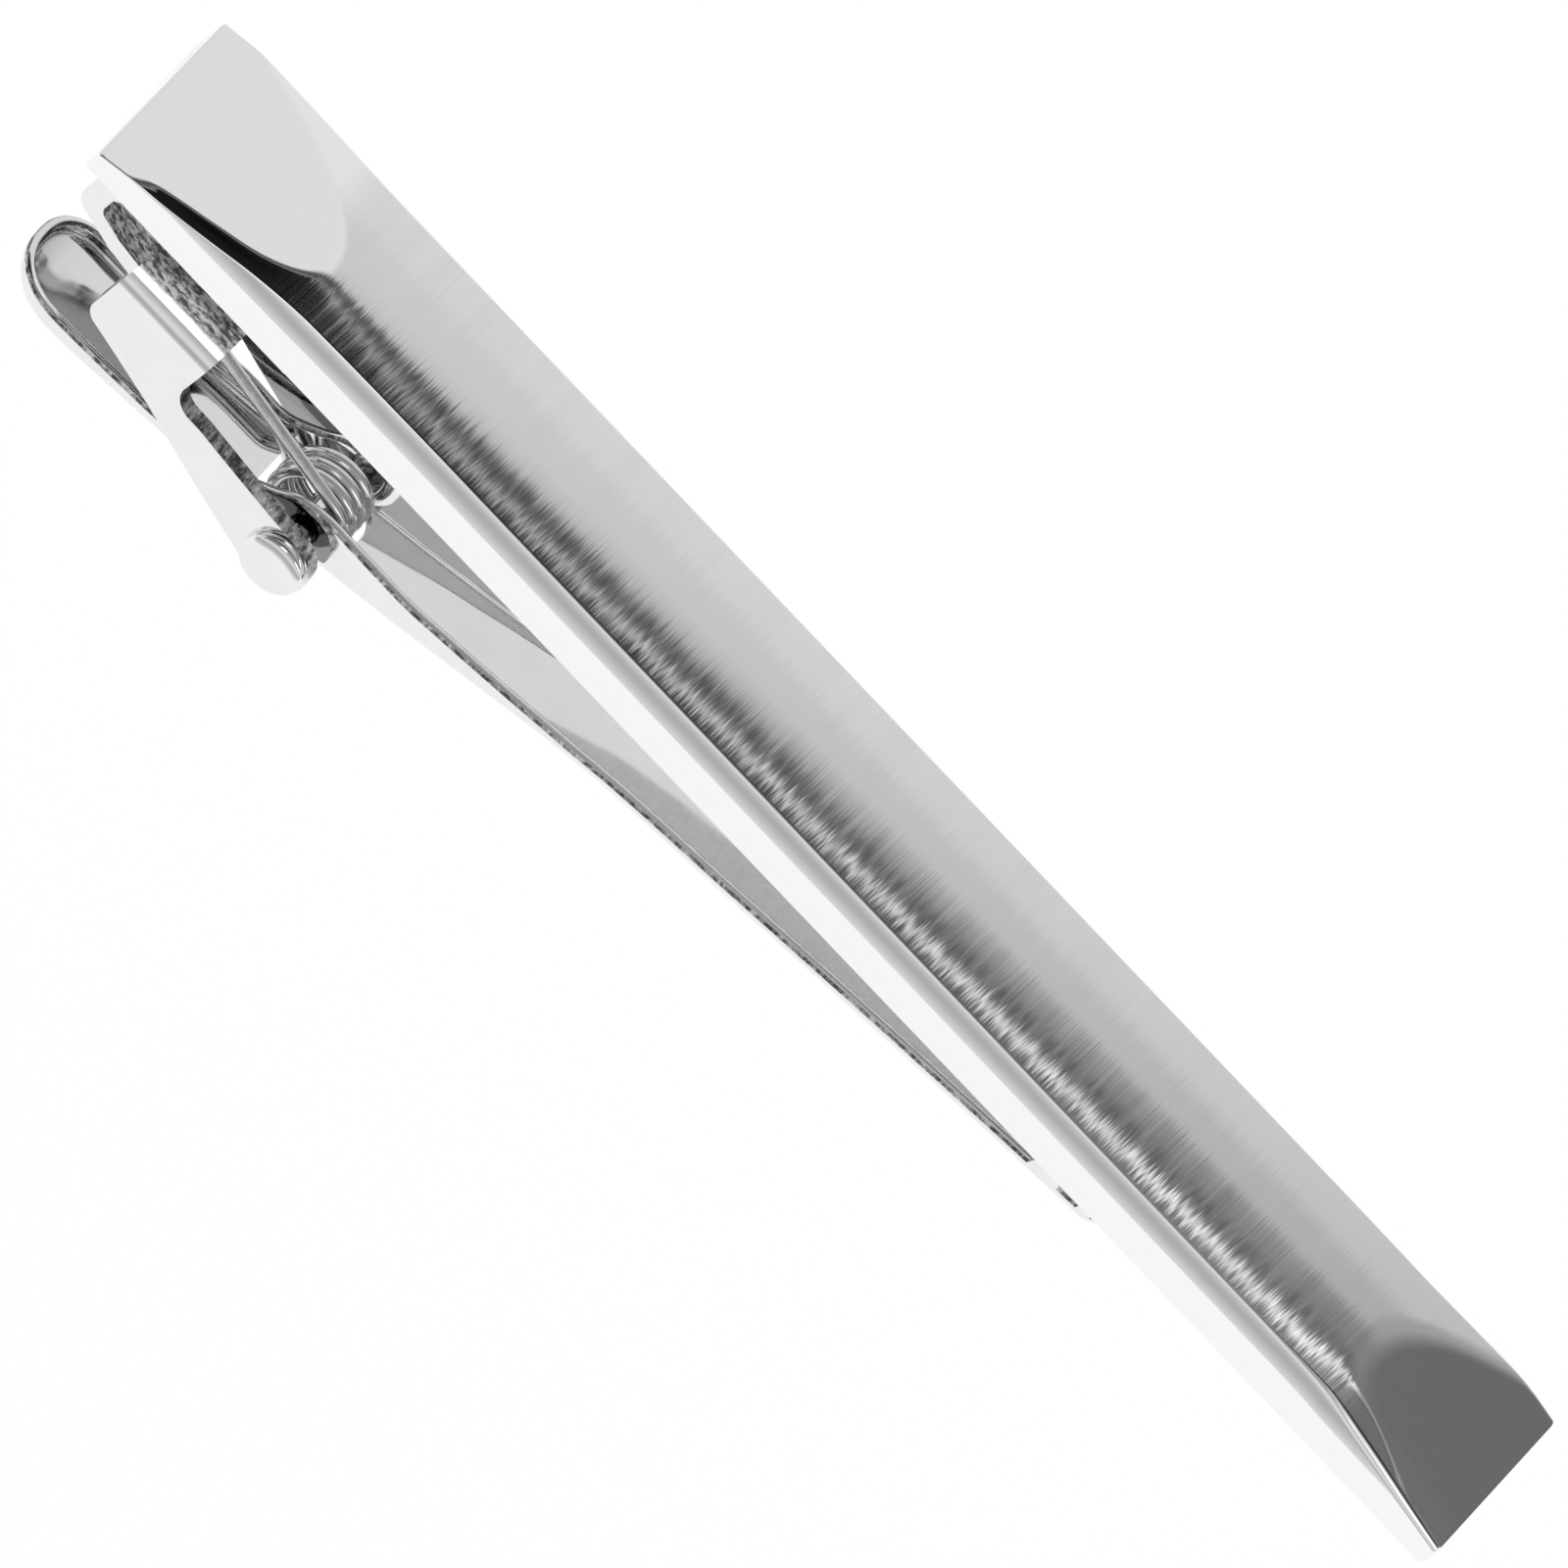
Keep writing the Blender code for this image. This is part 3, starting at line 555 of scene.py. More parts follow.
@dataclass(frozen=True)
class PlateFinish:
    """Bright plated sheet: a mirror with a faint wave and a thin haze.

    Where a grit height is given, faces that look up from above it carry a coarse, bumped grit
    whose dark and light flecks are a painted reflection of the shadowed, rough solder on the
    bar's back. Inside the channel, below a given height and nearer the middle than a given
    width, the sheet is painted dark: painted shade.
    """

    name: str = "bright_plated_sheet"
    colour: tuple[float, float, float] = (0.87, 0.87, 0.875)
    roughness: float = 0.07
    wave_size: float = 2.4 * MM
    wave_depth: float = 0.010 * MM
    grit_and_reflection_above: float | None = None
    grit_and_reflection_facing: tuple[float, float] = (0.45, 0.60)
    reflected_fleck_dark: tuple[float, float, float] = (0.16, 0.16, 0.165)
    reflected_fleck_light: tuple[float, float, float] = (0.98, 0.98, 0.99)
    channel_shade_colour: tuple[float, float, float] = (0.34, 0.34, 0.35)
    channel_shade_within: float = 2.17 * MM
    channel_shade_below: tuple[float, float] = (-2.75 * MM, -2.66 * MM)
    soft: float = 0.06 * MM

    def make(self) -> bpy.types.Material:
        """Builds the material from a slow wave, a fine haze, a change of tone and any grit; the
        grit comes with a painted reflection in its flecks and painted shade inside the channel.
        """
        nodes = Nodes(self.name)
        wave = nodes.noise((1.0 / self.wave_size,) * 3, 1.5, 0.4)
        haze = nodes.noise((900.0, 900.0, 900.0), 4.0, 0.6)
        rough = nodes.spread(haze, 0.3, 0.75, self.roughness - 0.02, self.roughness + 0.03)
        tone = nodes.spread(haze, 0.2, 0.8, 0.0, 1.0)
        dull = tuple(0.93 * part for part in self.colour)
        colour = nodes.blend(tone, dull, self.colour)
        normal = nodes.bump(wave, 1.0, self.wave_depth)
        if self.grit_and_reflection_above is not None:
            height = nodes.position().outputs[2]
            grain = nodes.noise((3000.0, 7500.0, 7500.0), 5.0, 0.62)
            edge = nodes.math("ADD", height, nodes.math("MULTIPLY", grain, 0.10 * MM))
            share = nodes.spread(edge, self.grit_and_reflection_above, self.grit_and_reflection_above + self.soft, 0.0, 1.0)
            facing = nodes.add("ShaderNodeSeparateXYZ")
            nodes.link(nodes.add("ShaderNodeNewGeometry").outputs["Normal"], facing.inputs[0])
            upward = nodes.ease(facing.outputs[2], *self.grit_and_reflection_facing)
            share = nodes.math("MULTIPLY", share, upward)
            # Painted reflection: the dark and light flecks stand in for the shadowed, rough solder
            # mirrored in the web; the coarse gloss and relief are real surface texture.
            fleck = nodes.spread(grain, 0.42, 0.58, 0.0, 1.0)
            flecks = nodes.blend(fleck, self.reflected_fleck_dark, self.reflected_fleck_light)
            colour = nodes.blend(share, colour, flecks)
            # Painted shade: inside the channel, under the web and between the ears, the sheet is
            # painted dark grey.
            aside = nodes.math("ABSOLUTE", nodes.position().outputs[1])
            outer = nodes.ease(aside, self.channel_shade_within, self.channel_shade_within + self.soft)
            inner = nodes.math("SUBTRACT", 1.0, outer)
            below = nodes.math("SUBTRACT", 1.0, nodes.ease(height, *self.channel_shade_below))
            inner = nodes.math("MULTIPLY", inner, below)
            colour = nodes.blend(inner, colour, self.channel_shade_colour)
            coarse = nodes.spread(grain, 0.3, 0.7, 0.42, 0.25)
            rough = nodes.mix(share, rough, coarse)
            relief = nodes.math("MULTIPLY", grain, share)
            normal = nodes.bump(relief, 1.0, 0.03 * MM, normal)
        nodes.link(rough, nodes.shader.inputs["Roughness"])
        nodes.link(colour, nodes.shader.inputs["Base Color"])
        nodes.link(normal, nodes.shader.inputs["Normal"])
        nodes.shader.inputs["Metallic"].default_value = 1.0
        return nodes.material


@dataclass(frozen=True)
class ShearedFinish:
    """The cut edge of the sheet: torn grain across the thickness, plated over. The grain's tone is
    the edge's own; its near-black end is painted shade for the shadowed underside it mirrors.
    """

    name: str = "sheared_plated_edge"
    # Near black: painted shade, darker than the plated grain itself, for the shadowed underside the
    # edge mirrors.
    dark: tuple[float, float, float] = (0.10, 0.10, 0.105)
    light: tuple[float, float, float] = (0.72, 0.72, 0.73)
    roughness: float = 0.30
    grain: tuple[float, float, float] = (0.10 * MM, 0.26 * MM, 0.10 * MM)
    depth: float = 0.035 * MM
    cut: tuple[float, float] = (0.44, 0.62)

    def make(self) -> bpy.types.Material:
        """Builds the material from two sizes of noise."""
        nodes = Nodes(self.name)
        torn = nodes.noise(tuple(1.0 / size for size in self.grain), 5.0, 0.65)
        pits = nodes.noise(tuple(0.35 / size for size in self.grain), 2.0, 0.5)
        both = nodes.math("MULTIPLY", nodes.math("ADD", torn, pits), 0.5)
        nodes.link(
            nodes.spread(both, 0.35, 0.7, self.roughness + 0.12, self.roughness - 0.14),
            nodes.shader.inputs["Roughness"],
        )
        tone = nodes.spread(both, *self.cut, 0.0, 1.0)
        nodes.link(nodes.blend(tone, self.dark, self.light), nodes.shader.inputs["Base Color"])
        nodes.link(nodes.bump(both, 1.0, self.depth), nodes.shader.inputs["Normal"])
        nodes.shader.inputs["Metallic"].default_value = 1.0
        return nodes.material


@dataclass(frozen=True)
class WireFinish:
    """Drawn and plated spring wire, with fine draw marks and a slight waviness."""

    colour: tuple[float, float, float] = (0.78, 0.78, 0.79)
    roughness: float = 0.15

    def make(self) -> bpy.types.Material:
        """Builds the material from one fine noise for tone, gloss and relief."""
        nodes = Nodes("plated_spring_wire")
        marks = nodes.noise((2600.0, 5200.0, 2600.0), 3.0, 0.6)
        rough = nodes.spread(marks, 0.3, 0.7, self.roughness - 0.05, self.roughness + 0.08)
        nodes.link(rough, nodes.shader.inputs["Roughness"])
        dull = tuple(0.82 * part for part in self.colour)
        nodes.link(
            nodes.blend(nodes.spread(marks, 0.3, 0.7, 0.0, 1.0), dull, self.colour),
            nodes.shader.inputs["Base Color"],
        )
        nodes.link(nodes.bump(marks, 0.8, 0.004 * MM), nodes.shader.inputs["Normal"])
        nodes.shader.inputs["Metallic"].default_value = 1.0
        return nodes.material


def dress(obj: bpy.types.Object, slot: Slot, *materials: bpy.types.Material) -> None:
    """Gives a piece its materials, in order."""
    obj.data.materials.clear()
    for material in materials:
        obj.data.materials.append(material)


# ---------------------------------------------------------------------------------------------
# Pieces
# ---------------------------------------------------------------------------------------------


@dataclass
class FrontBar:
    """The bar: a flat back, side walls that lean in near the top, and a domed front.

    A rounded edge joins the walls to the front, and a polished bevel cuts each end.
    """

    width: float = 6.5 * MM
    wall: float = 2.2 * MM
    crown: float = 0.7 * MM
    bevel_depth: tuple[float, float] = (1.545 * MM, 1.48 * MM)
    bevel_slope: tuple[float, float] = (0.22, 0.255)
    bevel_tilt: tuple[float, float] = (0.168, 0.126)
    roll: float = 0.045
    roll_inset: float = 1.1 * MM
    roll_reach: float = 0.8 * MM
    flank_inset: float = 0.25 * MM
    flank_reach: float = 1.60 * MM
    fall_clasp: tuple[tuple[float, float], ...] = (
        (0.0, 1.42), (0.4, 1.26), (2.25, 1.00), (4.05, 0.67), (5.85, 0.33), (7.66, 0.12),
        (9.5, 0.05), (14.0, 0.0),
    )
    fall_free: tuple[tuple[float, float], ...] = (
        (0.0, 0.95), (1.5, 0.72), (2.7, 0.54), (3.9, 0.38), (4.5, 0.29), (5.2, 0.17), (6.0, 0.06),
        (7.0, 0.01), (9.0, 0.0),
    )
    edge_round: tuple[float, float] = (0.04 * MM, 0.16 * MM)
    lean: float = 0.22 * MM
    lean_from: float = 0.35
    worn_run: tuple[float, float] = (20.0 * MM, 27.0 * MM)
    brush_run: tuple[float, float] = (5.6 * MM, 7.4 * MM)
    dense_run: float = 9.0 * MM
    end_radius: float = 0.12 * MM
    crease: tuple[float, float] = (0.06 * MM, 0.20 * MM)
    finish: BarFinish = field(default_factory=BarFinish)

    def dome(self, x: Array, y: Array) -> Array:
        """Height of the domed front before the bevels are cut.

        A parabola across the bar, wall + crown * (1 - (y / half width)^2). Its lower flank, a
        smooth step across y, falls towards both ends by the two fall curves.
        """
        half = self.width / 2.0
        inner = half - self.flank_inset - self.flank_reach
        flank = smoothstep(inner, half - self.flank_inset, -y)
        fall = hermite(self.fall_clasp, (x + HALF_LENGTH) / MM)
        fall = fall + hermite(self.fall_free, (HALF_LENGTH - x) / MM)
        return self.wall + self.crown * (1.0 - (y / half) ** 2) - flank * fall * MM

    def bevels(self, x: Array, y: Array) -> tuple[Array, Array]:
        """Heights of the clasp end's bevel plane and of the free end's.

        The free end's rolls down to the near flank, as the square of the way past roll_inset.
        """
        low = [self.wall + self.crown - depth for depth in self.bevel_depth]
        clasp = low[0] + self.bevel_slope[0] * (x + HALF_LENGTH) + self.bevel_tilt[0] * y
        free = low[1] + self.bevel_slope[1] * (HALF_LENGTH - x) + self.bevel_tilt[1] * y
        rolled = np.clip(-y - (self.width / 2.0 - self.roll_inset), 0.0, None) / MM
        return clasp, free - self.roll * (HALF_LENGTH - x + self.roll_reach) * rolled**2

    def front_height(self, x: Array, y: Array) -> Array:
        """Height of the front above the back: the dome under both bevel planes.

        Each cut is a soft minimum; the free end's crease is the wider one.

        Args:
            x: Places along the bar.
            y: Places across the bar.

        Returns:
            The height at each place.
        """
        clasp, free = self.bevels(x, y)
        height = soft_min(self.dome(x, y), clasp, self.crease[0])
        return soft_min(height, free, self.crease[1])

    def build(self) -> bpy.types.Object:
        """Carries the bar's section along X, drawn in slightly at each end for a rounded rim.

        The sections stand closer over the bevels. The edge's rounding widens along worn_run.
        """
        half = self.width / 2.0
        near = np.linspace(self.end_radius, self.dense_run, 230)
        middle = np.linspace(self.dense_run, HALF_LENGTH, 60)[1:]
        rim = self.end_radius * (1.0 - np.cos(np.linspace(0.0, np.pi / 2.0, 6)))[:-1]
        side = np.concatenate((rim, near, middle))
        x = np.concatenate((-HALF_LENGTH + side, (HALF_LENGTH - side)[::-1][1:]))
        from_end = np.minimum(x + HALF_LENGTH, HALF_LENGTH - x)
        lean = np.clip(1.0 - from_end / self.end_radius, 0.0, 1.0)
        inset = self.end_radius * (1.0 - np.sqrt(1.0 - lean**2))
        top = np.sin(np.linspace(-1.0, 1.0, 81) * np.pi / 2.0)
        top = np.sign(top) * (0.75 * np.abs(top) + 0.25 * np.abs(top) ** 3)
        shoulder = self.front_height(x, np.full_like(x, -(half - self.lean)))
        draw = self.lean * np.clip(shoulder / self.wall, 0.0, 1.0) ** 3
        rim_y = (half - draw - inset)[:, None]
        worn = self.edge_round[0] + self.edge_round[1] * smoothstep(*self.worn_run, x)[:, None]
        y = (rim_y - worn) * top
        z = self.front_height(x[:, None] + 0.0 * y, y) - inset[:, None]
        left_y, left_z = self.side(x, inset, draw, worn, -rim_y, y[:, :1], z[:, :1])
        right_y, right_z = self.side(x, inset, draw, worn, rim_y, y[:, -1:], z[:, -1:])
        right_y, right_z = right_y[:, ::-1], right_z[:, ::-1]
        floor = np.linspace(1.0, -1.0, 9)[1:-1]
        back_y = (half - inset)[:, None] * floor
        back_z = np.repeat(inset[:, None], len(floor), axis=1)
        section_y = np.hstack((left_y, y, right_y, back_y))
        section_z = np.hstack((left_z, z, right_z, back_z))
        rows, columns = section_y.shape
        points = np.stack((np.repeat(x[:, None], columns, 1), section_y, section_z), -1)
        faces = grid_faces(rows, columns, False, True).tolist()
        last = (rows - 1) * columns
        faces += [list(range(columns)), list(range(last + columns - 1, last - 1, -1))]
        brushed = self.brushed_share(points.reshape(-1, 3))
        bar = new_mesh("bar", points, faces)
        share = bar.data.attributes.new("brushed", "FLOAT", "POINT")
        share.data.foreach_set("value", brushed.astype(np.float32))
        tidy(bar, sharp=50.0)
        facing = np.empty(3 * len(bar.data.polygons), np.float32)
        bar.data.polygons.foreach_get("normal", facing)
        back = bar.data.attributes.new("cast", "FLOAT", "FACE")
        back.data.foreach_set("value", (facing[2::3] < -0.9).astype(np.float32))
        corner = np.empty(len(bar.data.loops), np.int32)
        bar.data.loops.foreach_get("vertex_index", corner)
        place = np.empty(3 * len(bar.data.vertices), np.float32)
        bar.data.vertices.foreach_get("co", place)
        place = place.reshape(-1, 3)[corner, :2] * 10.0 + 0.5
        layer = bar.data.uv_layers.new(name="along_bar")
        layer.data.foreach_set("uv", place.ravel())
        return bar

    def side(
        self,
        x: Array,
        inset: Array,
        draw: Array,
        worn: Array,
        rim_y: Array,
        top_y: Array,
        top_z: Array,
    ) -> tuple[Array, Array]:
        """One side of every section, from the back up: the wall, then the rounded edge.

        The wall leans in towards its top. The edge is a quadratic curve whose middle point is
        the sharp corner where wall and front would meet.

        Args:
            x: Places of the sections along the bar.
            inset: How far each section is drawn in at the bar's ends.
            draw: How far the wall leans in at its top.
            worn: How far the rounding reaches from the sharp corner, a column.
            rim_y: The sharp corner's place across the bar, a column.
            top_y: Where the front starts, a column.
            top_z: The front's height there, a column.

        Returns:
            Places across the bar and heights, one row for each section.
        """
        rim_z = self.front_height(x[:, None], rim_y) - inset[:, None]
        low, span = inset[:, None], rim_z - inset[:, None]
        share = np.linspace(0.0, 1.0, 25) * (1.0 - worn / span)
        lean = np.clip((share - self.lean_from) / (1.0 - self.lean_from), 0.0, 1.0) ** 2
        y = rim_y + np.sign(rim_y) * draw[:, None] * (1.0 - lean)
        z = low + span * share
        turn = np.linspace(0.0, 1.0, 8)[1:-1]
        first, second, third = (1.0 - turn) ** 2, 2.0 * turn * (1.0 - turn), turn**2
        edge_y = first * y[:, -1:] + second * rim_y + third * top_y
        edge_z = first * z[:, -1:] + second * rim_z + third * top_z
        return np.hstack((y, edge_y)), np.hstack((z, edge_z))

    def brushed_share(self, points: Array) -> Array:
        """How brushed each point is: 1 on the dome, 0 on bevels and walls, eased between.

        Towards the clasp end the brushing also fades along brush_run.
        """
        x, y, z = points.T
        dome = self.dome(x, y)
        clasp, free = self.bevels(x, y)
        share = smoothstep(-0.004 * MM, 0.050 * MM, clasp - dome)
        share = share * smoothstep(-0.02 * MM, 0.15 * MM, free - dome)
        share = share * smoothstep(*self.brush_run, x + HALF_LENGTH)
        edge = self.width / 2.0 - self.lean - np.abs(y)
        share = share * smoothstep(0.0, 0.10 * MM, edge)
        return share * (z > 0.5 * self.wall)

    def make(self) -> bpy.types.Object:
        """Builds the bar and dresses it."""
        bar = self.build()
        dress(bar, Slot.BAR, self.finish.make())
        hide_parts("front_bar")
        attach(bar, Body.BAR.value)
        return bar


@dataclass
class HingePin:
    """The rivet: a shank through the ears and the lever with a domed head at each end."""

    head_diameter: float = 2.27 * MM
    head_height: float = 0.45 * MM
    shank_diameter: float = 1.0 * MM
    ear_outer: float = 2.75 * MM
    head_gap: float = 0.005 * MM
    segments: int = 96

    @property
    def centre(self) -> Vector:
        """Middle of the rivet, from the CAD pin's box."""
        low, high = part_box("hinge_pin")
        return (low + high) / 2.0

    def build(self) -> bpy.types.Object:
        """Turns half an outline and its mirror image: a short rim, then an elliptical dome."""
        head = self.head_diameter / 2.0
        start = self.ear_outer + self.head_gap
        rim = 0.40 * self.head_height
        angle = np.linspace(np.pi / 2.0, 0.0, 36)
        rise = (self.head_height - rim) * np.sin(angle) ** 0.8
        dome = np.column_stack((head * np.cos(angle) ** 0.7, start + rim + rise))
        under = np.array(
            [
                (head, start + 0.06 * MM),
                (head - 0.02 * MM, start + 0.01 * MM),
                (head - 0.06 * MM, start),
                (self.shank_diameter / 2.0 + 0.02 * MM, start),
                (self.shank_diameter / 2.0, start - 0.03 * MM),
            ]
        )
        half = np.vstack((dome, under))
        half[0, 0] = 0.0
        profile = np.vstack((half, (half * (1.0, -1.0))[::-1]))
        return lathe("rivet", profile, self.centre, self.segments)

    def make(self) -> bpy.types.Object:
        """Builds the rivet and dresses it."""
        pin = self.build()
        finish = PlateFinish("bright_plated_rivet", wave_depth=0.014 * MM, wave_size=0.9 * MM)
        dress(pin, Slot.RIVET, finish.make())
        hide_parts("hinge_pin")
        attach(pin, Body.BAR.value)
        return pin


@dataclass
class HingeBracket:
    """The folded sheet behind the bar: a soldered leaf, a square bend, a web and two ears."""

    width: float = 5.5 * MM
    sheet: float = 0.6 * MM
    start: float = 0.65 * MM
    leaf_end: float = 9.0 * MM
    web_drop: float = 2.05 * MM
    web_end: float = 7.45 * MM
    ear_start: float = 3.57 * MM
    bend_radius: float = 1.4 * MM
    end_radius: float = 1.2 * MM
    edge_round: float = 0.045 * MM

    def fold_outline(self) -> Array:
        """Side view of the folded strip, leaf to web, in X and Z."""
        web, sheet, gap = -self.web_drop, self.sheet, 0.002 * MM
        start = self.start
        post = start + 0.85 * MM
        outline = np.vstack(
            (
                [(self.leaf_end, -gap), (start + 0.4 * MM, -gap)],
                arc((start + 0.4 * MM, -gap - 0.4 * MM), 0.4 * MM, 100.0, 180.0, 12),
                arc((start + 0.75 * MM, web - sheet + 1.30 * MM), 0.75 * MM, 180.0, 262.0, 20),
                [(start + 1.9 * MM, web - sheet + 0.16 * MM), (start + 2.95 * MM, web - sheet)],
                [(4.6 * MM, web - sheet), (4.6 * MM, web), (start + 2.95 * MM, web)],
                [(start + 1.9 * MM, web + 0.16 * MM)],
                arc((post + 0.35 * MM, web + 0.75 * MM), 0.35 * MM, 262.0, 180.0, 12),
                [(post, -gap - sheet - 0.2 * MM), (post + 0.2 * MM, -gap - sheet)],
                [(self.leaf_end, -gap - sheet)],
            )
        )
        return outline - (HALF_LENGTH, 0.0)

    def ear_outline(self, pin: Vector) -> Array:
        """Side view of the ears and the web between them, in X and Z."""
        web = -self.web_drop
        reach = pin.z - web
        left = self.ear_start
        pin_x = pin.x + HALF_LENGTH
        outline = np.vstack(
            (
                [(left, web + 0.5 * MM), (left, web + 0.541 * reach)],
                arc((left + 0.63 * MM, web + 0.551 * reach), 0.63 * MM, 186.0, 262.0, 18),
                [(5.20 * MM, web + 0.735 * reach), (7.06 * MM, web + 0.842 * reach)],
                [(8.92 * MM, web + 0.972 * reach), (10.2 * MM, web + 1.058 * reach)],
                arc((pin_x, pin.z), self.end_radius, 252.0, 444.0, 60),
                [(10.8 * MM, web + 0.707 * reach), (8.75 * MM, web + 0.657 * reach)],
                arc((self.web_end + 0.80 * MM, web + 0.491 * reach), 0.82 * MM, 268.0, 184.0, 18),
                [(self.web_end, web - 1.4 * MM), (self.web_end, web + 0.5 * MM)],
            )
        )
        return outline - (HALF_LENGTH, 0.0)

    def section(self, low: float) -> Array:
        """Cross-section of the web and its two turned-down ears, in Y and Z."""
        outer = self.width / 2.0
        inner = outer - self.sheet
        web = -self.web_drop
        inside = self.bend_radius - self.sheet
        bend = self.bend_radius
        over = arc((outer - bend, web - bend), bend, 90.0, 0.0, 30)
        under = arc((inner - inside, web - self.sheet - inside), inside, 0.0, 90.0, 24)
        mirror = (-1.0, 1.0)
        return np.vstack(
            (
                (over * mirror)[::-1],
                over,
                [(outer, low), (inner, low)],
                under,
                (under * mirror)[::-1],
                [(-inner, low), (-outer, low)],
            )
        )

    def build(
        self, pin: Vector, plate: bpy.types.Material, edge: bpy.types.Material
    ) -> bpy.types.Object:
        """Bends the channel, trims it to the ears' outline and joins the folded strip.

        The strip's corners are cut away where the channel's bends take their place.

        Args:
            pin: Centre of the rivet.
            plate: Finish of the sheet's faces.
            edge: Finish of its sheared edges, which the trimming outline brings with it.

        Returns:
            The bracket as one closed body.
        """
        outer = self.width / 2.0
        margin = 3.0 * MM
        section = self.section(pin.z - margin)
        bracket = prism("bracket", section, "X", -HALF_LENGTH + margin, pin.x + margin)
        bracket.data.materials.append(plate)
        side = prism("ear_side", self.ear_outline(pin), "Y", -2.0 * outer, 2.0 * outer)
        side.data.materials.append(edge)
        combine(bracket, side, "INTERSECT")
        strip = prism("strip", self.fold_outline(), "Y", -outer + 0.004 * MM, outer - 0.004 * MM)
        strip.data.materials.append(plate)
        start = self.ear_start - HALF_LENGTH
        end = start + 2.0 * MM
        high, low = -self.web_drop + 0.3 * MM, -self.web_drop - self.sheet - 0.3 * MM
        corner = np.array([(start, high), (end, high), (end, low), (start, low)])
        for sign in (-1.0, 1.0):
            span = sorted((sign * (outer + 1.0 * MM), sign * (outer - 0.9 * self.bend_radius)))
            relief = prism("relief", corner, "Y", *span)
            relief.data.materials.append(edge)
            combine(strip, relief, "DIFFERENCE")
        combine(bracket, strip, "UNION")
        bore = arc((pin.x, pin.z), BORE_RADIUS, 0.0, 352.5, 48)
        hole = prism("hole", bore, "Y", -2.0 * outer, 2.0 * outer)
        hole.data.materials.append(edge)
        combine(bracket, hole, "DIFFERENCE")
        tidy(bracket, merge=1e-6, sharp=28.0)
        soften(bracket, self.edge_round, 3)
        return bracket

    def make(
        self, pin: Vector, plate: bpy.types.Material, edge: bpy.types.Material
    ) -> bpy.types.Object:
        """Builds the bracket."""
        bracket = self.build(pin, plate, edge)
        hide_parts("hinge_bracket")
        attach(bracket, Body.BAR.value)
        return bracket


